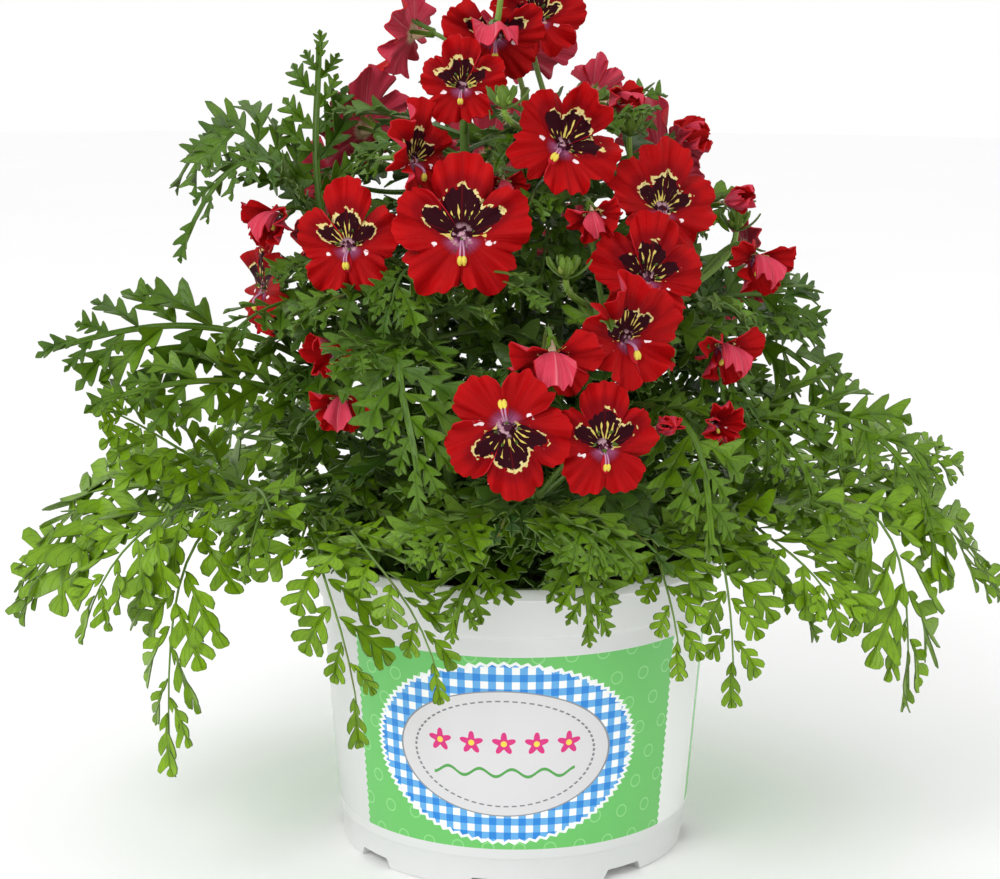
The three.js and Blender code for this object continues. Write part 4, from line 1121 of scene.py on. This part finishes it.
# %% Grow the fourteen leafy stems
SMALL_LEAVES = 20
STEM_RINGS = 26
POT_CLEAR = 6
for i, curve in enumerate(stem_curves):
    rng = np.random.default_rng(100 + i)
    body = Body()
    rings = np.linspace(0, 1, STEM_RINGS)
    swell = 1 + 0.05 * np.sin(rings * 40)
    radii = (STEM_RADIUS + (STEM_TIP_RADIUS - STEM_RADIUS) * rings) * swell
    body.rod(curve, radii, 10, STEM_LOOK, tone=0.3)
    hairs(body, curve, 1.2, STEM_HAIRS, rng)
    for piece in [*BLOOMS, *BUDS]:
        if piece["stem"] == i:
            grow_stalk(body, piece, 0.35, rng)
    for head in HEADS:
        if head["stem"] == i:
            grow_head(body, head, rng)
    fern = STEMS[i].get("fern", False)
    style = FERN if fern else CUT
    for row in all_leaves:
        if row["stem"] != i:
            continue
        foot = curve.at(row["at"])
        sway = rng.uniform(-9, 9) if fern else rng.uniform(-5, 5)
        leaf = Leaf(foot, row["tip"], row["reach"], row["lift"], row["turn"], row["half"], sway)
        tone = leaf_tone(row, 0.5 * (foot[2] + row["tip"][2]))
        grow_leaf(body, i, leaf, row.get("pairs", 4) + style["more"], style, tone, rng)
    for row in FILL_LEAVES:
        if row["stem"] == i:
            leaf = Leaf(curve.at(row["at"]), row["tip"], 0.6, 12, rng.uniform(-20, 20), 14)
            grow_leaf(body, i, leaf, 5, CUT, 0.3, rng, solid=False)
    outward = math.atan2(curve.c[1], curve.c[0])
    for k in range(SMALL_LEAVES):
        foot = curve.at(0.22 + 0.76 * k / SMALL_LEAVES)
        angle = outward + SPIRAL * k + rng.uniform(-0.4, 0.4)
        length = rng.uniform(28, 46)
        fall = rng.uniform(-12, 14)
        tip = foot + [length * math.cos(angle), length * math.sin(angle), -fall]
        tip[2] = max(tip[2], POT_HEIGHT + POT_CLEAR)
        leaf = Leaf(foot, tip, 0.6, 8, rng.uniform(-30, 30), rng.uniform(11, 16))
        tone = 0.6 if fern else 0.1 + 0.35 * rng.uniform()
        grow_leaf(body, i, leaf, 3, SMALL, tone, rng, solid=False)
    foliage = body.make(f"foliage_{i + 1:02d}", FOLIAGE_LOOKS, 45)
    dress(foliage, f"leafy_stem_{i + 1:02d}")
print("leafy stems:", {k: n for k, n in triangles.items() if k.startswith("foliage")})

# %% [markdown]
# A bloom is two-lipped: one top petal, two at the sides and two below, all joined at a short
# tube. The skin of a petal is velvety, so it is matt and hardly shows a highlight. The markings are
# drawn in the material from values that every point carries: its reach from the throat, its
# bearing from the top, its place across the petal, and how far inside the dark blotch it is, in
# millimetres. Noise breaks the blotch's yellow border into pieces, as on the real flower. The
# face's red is painted deeper towards the throat as well, and that darkening is painted shade.


# %% The markings on a petal's inner face: layers of a mask and a colour, the lowest first
def markings(tree, deep, place, cloud, reach, aside, tone):
    """Painted shade towards the throat, halo, yellow border, blotch, strokes, blush, throat and
    white spots.
    """
    blotch = add(tree, "Attribute", out="Fac", attribute_name="blotch")
    fine, breaks = (
        add(tree, "TexNoise", {"Vector": place, "Scale": 1 / (size * MM), "Detail": detail})
        for size, detail in ((1.5, 2.0), (2.6, 1.0))
    )
    # Painted shade: the red deepens from the rim towards the throat, where the petal lies in shade.
    painted_throat_shade = add(tree, SMOOTH, reach, 0.98, 0.5, 0.0, 0.6)
    halo = add(tree, SMOOTH, blotch, -4.2, -1.0, 0.0, 0.8)
    wobble = add(tree, TIMES_PLUS, fine, 3.4, -1.7)
    depth = add(tree, PLUS, blotch, wobble)
    dark = add(tree, SMOOTH, depth, 0.35, 0.6)
    border = add(tree, SMOOTH, depth, -0.5, -0.3)
    low = add(tree, "MapRange", aside, 60.0, 100.0, 0.38, 0.56)
    low = add(tree, TIMES_PLUS, tone, 0.045, low)
    border = add(tree, TIMES, border, add(tree, ABOVE, breaks, low))
    cream = add(tree, MIX, {0: fine, 6: "EADFA6", 7: "CDB45A"})

    bend = add(tree, TIMES_PLUS, cloud, 26.0, aside)
    ray_row = add(tree, PINGPONG, add(tree, PLUS, bend, -20.0), 8.5)
    gap = add(tree, TIMES, ray_row, reach)
    gap = add(tree, TIMES_PLUS, breaks, -5.3, gap)
    stroke = add(tree, SMOOTH, gap, -2.35, -2.65)
    fade = add(tree, "MapRange", aside, 5.0, 60.0, 0.47, 0.34)
    for way, limit, side in ((reach, fade, BELOW), (reach, 0.15, ABOVE), (aside, 98.0, BELOW)):
        stroke = add(tree, TIMES, stroke, add(tree, side, way, limit))
    blush = add(tree, SMOOTH, reach, 0.34, 0.1, 0.0, 0.9)
    lower = add(tree, SMOOTH, aside, 92.0, 125.0)
    blush = add(tree, TIMES, blush, lower)
    throat = add(tree, SMOOTH, reach, 0.19, 0.1, 0.0, 0.7)
    net = add(tree, SMOOTH, fine, 0.5, 0.6)
    throat = add(tree, TIMES, throat, net)
    patch = add(tree, TIMES, add(tree, PLUS, aside, -111.0), 0.009)
    far = add(tree, PLUS, reach, -0.4)
    spot = add(tree, LENGTH, add(tree, "CombineXYZ", patch, far))
    for noise, share in ((breaks, -0.34), (fine, -0.12)):
        spot = add(tree, TIMES_PLUS, noise, share, spot)
    white = add(tree, SMOOTH, spot, -0.19, -0.205)
    return [
        (painted_throat_shade, deep),
        (halo, "78000A"),
        (border, cream),
        (dark, "2C020E"),
        (stroke, "DCC765"),
        (blush, "A55A86"),
        (throat, "E9B9C6"),
        (white, "F6E4E8"),
    ]


# %% Petal finishes
def red_petal(name, light, deep, mark, inside):
    """Velvety red skin, with the throat's dark blotch, yellow border and strokes if inside."""
    material, tree, shader = new_material(name, 0.6, IOR=1.4, Specular_IOR_Level=0.12)
    place = add(tree, "TexCoord", out="Object")
    reach, bearing, across, tone = (
        add(tree, "Attribute", out="Fac", attribute_name=key)
        for key in ("reach", "bearing", "across", "tone")
    )
    ray = add(tree, "CombineXYZ", add(tree, TIMES, bearing, 0.55), reach, tone)
    streaks = add(tree, "TexNoise", {"Vector": ray, "Scale": 1.0, "Detail": 3.0})
    cloud, grain = (
        add(tree, "TexNoise", {"Vector": place, "Scale": 1 / (size * MM), "Detail": 2.0})
        for size in (7, 0.9)
    )
    layers = [
        (cloud, deep),
        (add(tree, SMOOTH, streaks, 0.5, 0.75, 0.0, 0.22), mark),
    ]
    if inside:
        aside = add(tree, SIZE, bearing)
        layers += markings(tree, deep, place, cloud, reach, aside, tone)
    else:
        ragged = add(tree, TIMES_PLUS, streaks, 0.3, reach)
        pale_foot = add(tree, SMOOTH, ragged, 0.4, 0.3, 0.0, 0.85)
        layers.append((pale_foot, "EAD8AE"))
    off_rib = add(tree, SIZE, across)
    layers.append((add(tree, SMOOTH, off_rib, 0.07, 0.0, 0.0, 0.35), mark))
    height = add(tree, TIMES_PLUS, streaks, 2.0, grain)
    paint(tree, shader, light, layers, height, 0.14)
    return material


petal_face = red_petal("velvety_red_petal", "C40C0F", "940509", "7A0106", True)
petal_back = red_petal("rosy_petal_back", "DC4A60", "B82A42", "EC98A2", False)
petal_edge = new_material("petal_edge", 0.6, "B0101C", Specular_IOR_Level=0.15)[0]
pollen = new_material("yellow_anther", 0.8, "DDCB4A")[0]
filament = new_material("lilac_filament", 0.5, "B77FA0")[0]
keel_skin = new_material("keel_skin", 0.6, "B81626", Specular_IOR_Level=0.15)[0]
BLOOM_LOOKS = [petal_face, petal_back, petal_edge, pollen, filament, keel_skin]
FACE, BACK, EDGE, POLLEN, FILAMENT, KEEL = range(6)
print("petal finishes:", [look.name for look in BLOOM_LOOKS])

# %% Petals, clockwise from the top: middle and half width in degrees, reach, lean, and margin
PETALS = table(
    "middle half reach back scallops notch square",
    (0, 38, 1.08, 4, 2, 0.07, 3.6),
    (75, 43, 0.99, 8, 3, 0.06, 4.2),
    (146, 37, 1.03, -4, 2, 0.075, 3.4),
    (214, 37, 1.03, -4, 2, 0.075, 3.4),
    (285, 43, 0.99, 8, 3, 0.06, 4.2),
)
BLOTCH_BEARINGS = (0, 8, 20, 32, 40, 48, 58, 66, 74, 82, 90, 100, 180)
BLOTCH_REACHES = (0.62, 0.6, 0.57, 0.5, 0.43, 0.52, 0.6, 0.62, 0.54, 0.38, 0.25, 0.16, 0.12)
THROAT_REACH = 0.08
RIM_TEETH = 0.034


def grow_petals(body, bloom, rng, rows=11, columns=33, marks=1.0):
    """Five petals, each with its own waves, notches and lean. marks scales the dark blotch."""
    marks = marks * rng.uniform(0.84, 1.12)
    tone = rng.uniform(0, 4)
    for petal in PETALS:
        r = np.linspace(0, 1, rows)[:, None]
        s = np.linspace(-1, 1, columns)[None, :]
        phase = rng.uniform(-0.08, 0.08)
        turns = petal["scallops"] * (s + 1) / 2 + 0.5 + phase
        notch = np.abs(np.sin(math.pi * turns)) ** 0.6
        teeth = np.abs(np.sin(math.pi * 3 * turns)) ** 0.8
        corner = 0.32 * np.abs(s) ** petal["square"]
        rim = petal["reach"] * (1 - corner) - RIM_TEETH * (1 - teeth)
        rim = rim - petal["notch"] * (1 - notch) * (1 - s**6)
        rim = rim * rng.uniform(0.95, 1.03)
        reach = THROAT_REACH + (rim - THROAT_REACH) * r
        degrees = petal["middle"] + s * petal["half"] * (1.03 - 0.12 * r) + rng.uniform(-3, 3) * r
        waves = np.sin(math.tau * (0.9 * s + rng.uniform())) * rng.uniform(0.07, 0.17)
        folds = np.sin(math.tau * (2.1 * s + rng.uniform())) * 0.065 * r
        lift = bloom.radius * ((waves + folds) * r**2 + 0.03 * s * r)
        lift = lift - bloom.radius * rng.uniform(0.02, 0.12) * r**4 * bloom.open
        hood = bloom.hood if petal["middle"] == 0 else 0.0
        back = petal["back"] + rng.uniform(-12, 8)
        grid = bloom.place(reach, degrees, back, lift, hood)
        folded = (degrees + 180) % 360 - 180
        edge = np.interp(np.abs(folded), BLOTCH_BEARINGS, BLOTCH_REACHES) * marks
        values = dict(reach=reach, bearing=folded, across=s, blotch=(edge - reach) * bloom.radius)
        body.blade(grid, BLADE_THICKNESS, (BACK, FACE, EDGE), tone=tone, **values)


TUBE_SIDES = 20
STAMENS = (172, 188)


def grow_throat(body, bloom):
    """The tube, from the petals' feet back to the calyx, with the keel and two stamens."""
    bearing = np.linspace(0, 360, TUBE_SIDES, endpoint=False)
    rim = bloom.place(np.full(TUBE_SIDES, 0.1), bearing, 4.0, 0.0)
    foot = bloom.place(np.full(TUBE_SIDES, 0.001), bearing, 0.0, 0.0).mean(axis=0)
    rings = []
    for share in (0, 0.25, 0.5, 0.75, 1):
        centre = foot + (bloom.foot + 0.5 * bloom.front - foot) * share
        rings.append(centre + (rim - rim.mean(axis=0)) * (1 - 0.35 * share) * 1.05)
    looks = [BACK] * (4 * TUBE_SIDES) + [FACE, BACK]
    body.skin(np.array(rings), looks, reach=0.12, bearing=100.0, across=0.5, blotch=9.0, tone=1.0)
    size = bloom.radius
    u = np.linspace(0, 1, 9)[:, None]
    v = np.linspace(-1, 1, 5)[None, :]
    width = 13 * np.sin(math.pi * (0.12 + 0.8 * u))
    lift = size * (0.1 * np.sin(math.pi * u) * (1 - v * v) + 0.03)
    keel = bloom.place(0.1 + 0.4 * u + 0 * v, 180 + width * v, 0.0, lift)
    body.blade(keel, BLADE_THICKNESS, (KEEL, KEEL, EDGE))
    for degrees in STAMENS:
        inner = 180 + (degrees - 180) * 0.6
        steps = ((0.06, degrees, 0.2), (0.2, degrees, 0.22 * size), (0.34, inner, 0.16 * size))
        start, middle, end = (bloom.place(reach, way, 0.0, lift) for reach, way, lift in steps)
        thread = Curve(start, middle, end)
        body.rod(thread, np.full(8, 0.015 * size), 6, FILAMENT)
        way = thread.way(1.0)
        anther = Curve(*(end + way * share * size for share in (-0.02, 0.05, 0.12)))
        body.rod(anther, np.array([0.3, 0.85, 1.0, 0.9, 0.4]) * 0.04 * size, 8, POLLEN)


# %% The open blooms and the half-open ones
KINDS = (
    ("corolla", "bloom", "petal_red", BLOOMS, 300, dict()),
    ("half_open", "bud", "bud_rose", BUDS, 500, dict(rows=10, columns=21, marks=0.55)),
)
for kind, node, slot, plan, first_seed, detail in KINDS:
    for i, piece in enumerate(plan):
        bloom, body = Bloom(piece), Body()
        grow_petals(body, bloom, np.random.default_rng(first_seed + i), **detail)
        grow_throat(body, bloom)
        flower = body.make(f"{kind}_{i + 1:02d}", BLOOM_LOOKS, 55)
        dress(flower, f"{node}_{i + 1:02d}")
    print(kind, len(plan), "pieces of", triangles[kind + "_01"], "triangles")

# %% [markdown]
# The photograph is a studio shot on white. A wide white floor, a white surround and one large soft
# light, from the upper left in front, give the same even light. The view transform is the
# standard one, so that white stays white.

# %% Floor and light
FLOOR_RADIUS, FLOOR_DEPTH = 3000, 12
floor = Body()
floor_profile = [(FLOOR_RADIUS, -FLOOR_DEPTH), (FLOOR_RADIUS, 0), (FLOOR_RADIUS / 3, 0)]
floor.skin(turned(floor_profile, 64), 0)
paper, tree, shader = new_material("white_seamless_paper", 0.9, "FBFBFB")
fibre = add(tree, "TexNoise", {"Scale": 1 / (30 * MM), "Detail": 4.0})
paint(tree, shader, "FDFDFD", [(fibre, "F9F9F9")])
floor = floor.make("studio_floor", [paper])

world = bpy.data.worlds.new("white_surround")
bpy.context.scene.world = world
world.use_nodes = True
surround = world.node_tree.nodes["Background"]
surround.inputs["Color"].default_value = linear("FFFFFF")
surround.inputs["Strength"].default_value = 1.0
bpy.context.scene.view_settings.view_transform = "Standard"


KEY_PLACE, KEY_AIM = Vector((-500, -800, 900)), Vector((0, 0, 120))
KEY_SIDE, KEY_WATTS = 500, 5
lamp = bpy.data.lights.new("key", "AREA")
lamp.energy, lamp.shape, lamp.size = KEY_WATTS, "SQUARE", KEY_SIDE * MM
key = bpy.data.objects.new("key", lamp)
key.location = KEY_PLACE * MM
key.rotation_euler = (KEY_AIM - KEY_PLACE).to_track_quat("-Z", "Y").to_euler()
bpy.context.scene.collection.objects.link(key)
print("surround strength", surround.inputs["Strength"].default_value)

# %% Camera, at the photograph's viewing angle
CAMERA_TARGET = np.array([-4.5, 0, 116.8])
CAMERA_DISTANCE = 655.3
CAMERA_ELEVATION = math.radians(11.63)
CAMERA_ROLL = math.radians(0.33)
LENS, SENSOR_WIDTH = 82.0, 36.0
back = np.array([0, -math.cos(CAMERA_ELEVATION), math.sin(CAMERA_ELEVATION)])
level = np.array([1.0, 0, 0])
rise = np.cross(back, level)
right = level * math.cos(CAMERA_ROLL) + rise * math.sin(CAMERA_ROLL)
top = np.cross(back, right)
eye = (CAMERA_TARGET + back * CAMERA_DISTANCE) * MM
camera = bpy.data.objects.new("camera", bpy.data.cameras.new("camera"))
camera.data.lens, camera.data.sensor_width = LENS, SENSOR_WIDTH
axes = np.array([right, top, back, eye]).T
camera.matrix_world = Matrix([*axes.tolist(), [0, 0, 0, 1]])
bpy.context.scene.collection.objects.link(camera)
bpy.context.scene.camera = camera
print("camera at", [round(float(c), 3) for c in eye], "m")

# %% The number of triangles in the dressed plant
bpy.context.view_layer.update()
print("triangles in all:", sum(triangles.values()))
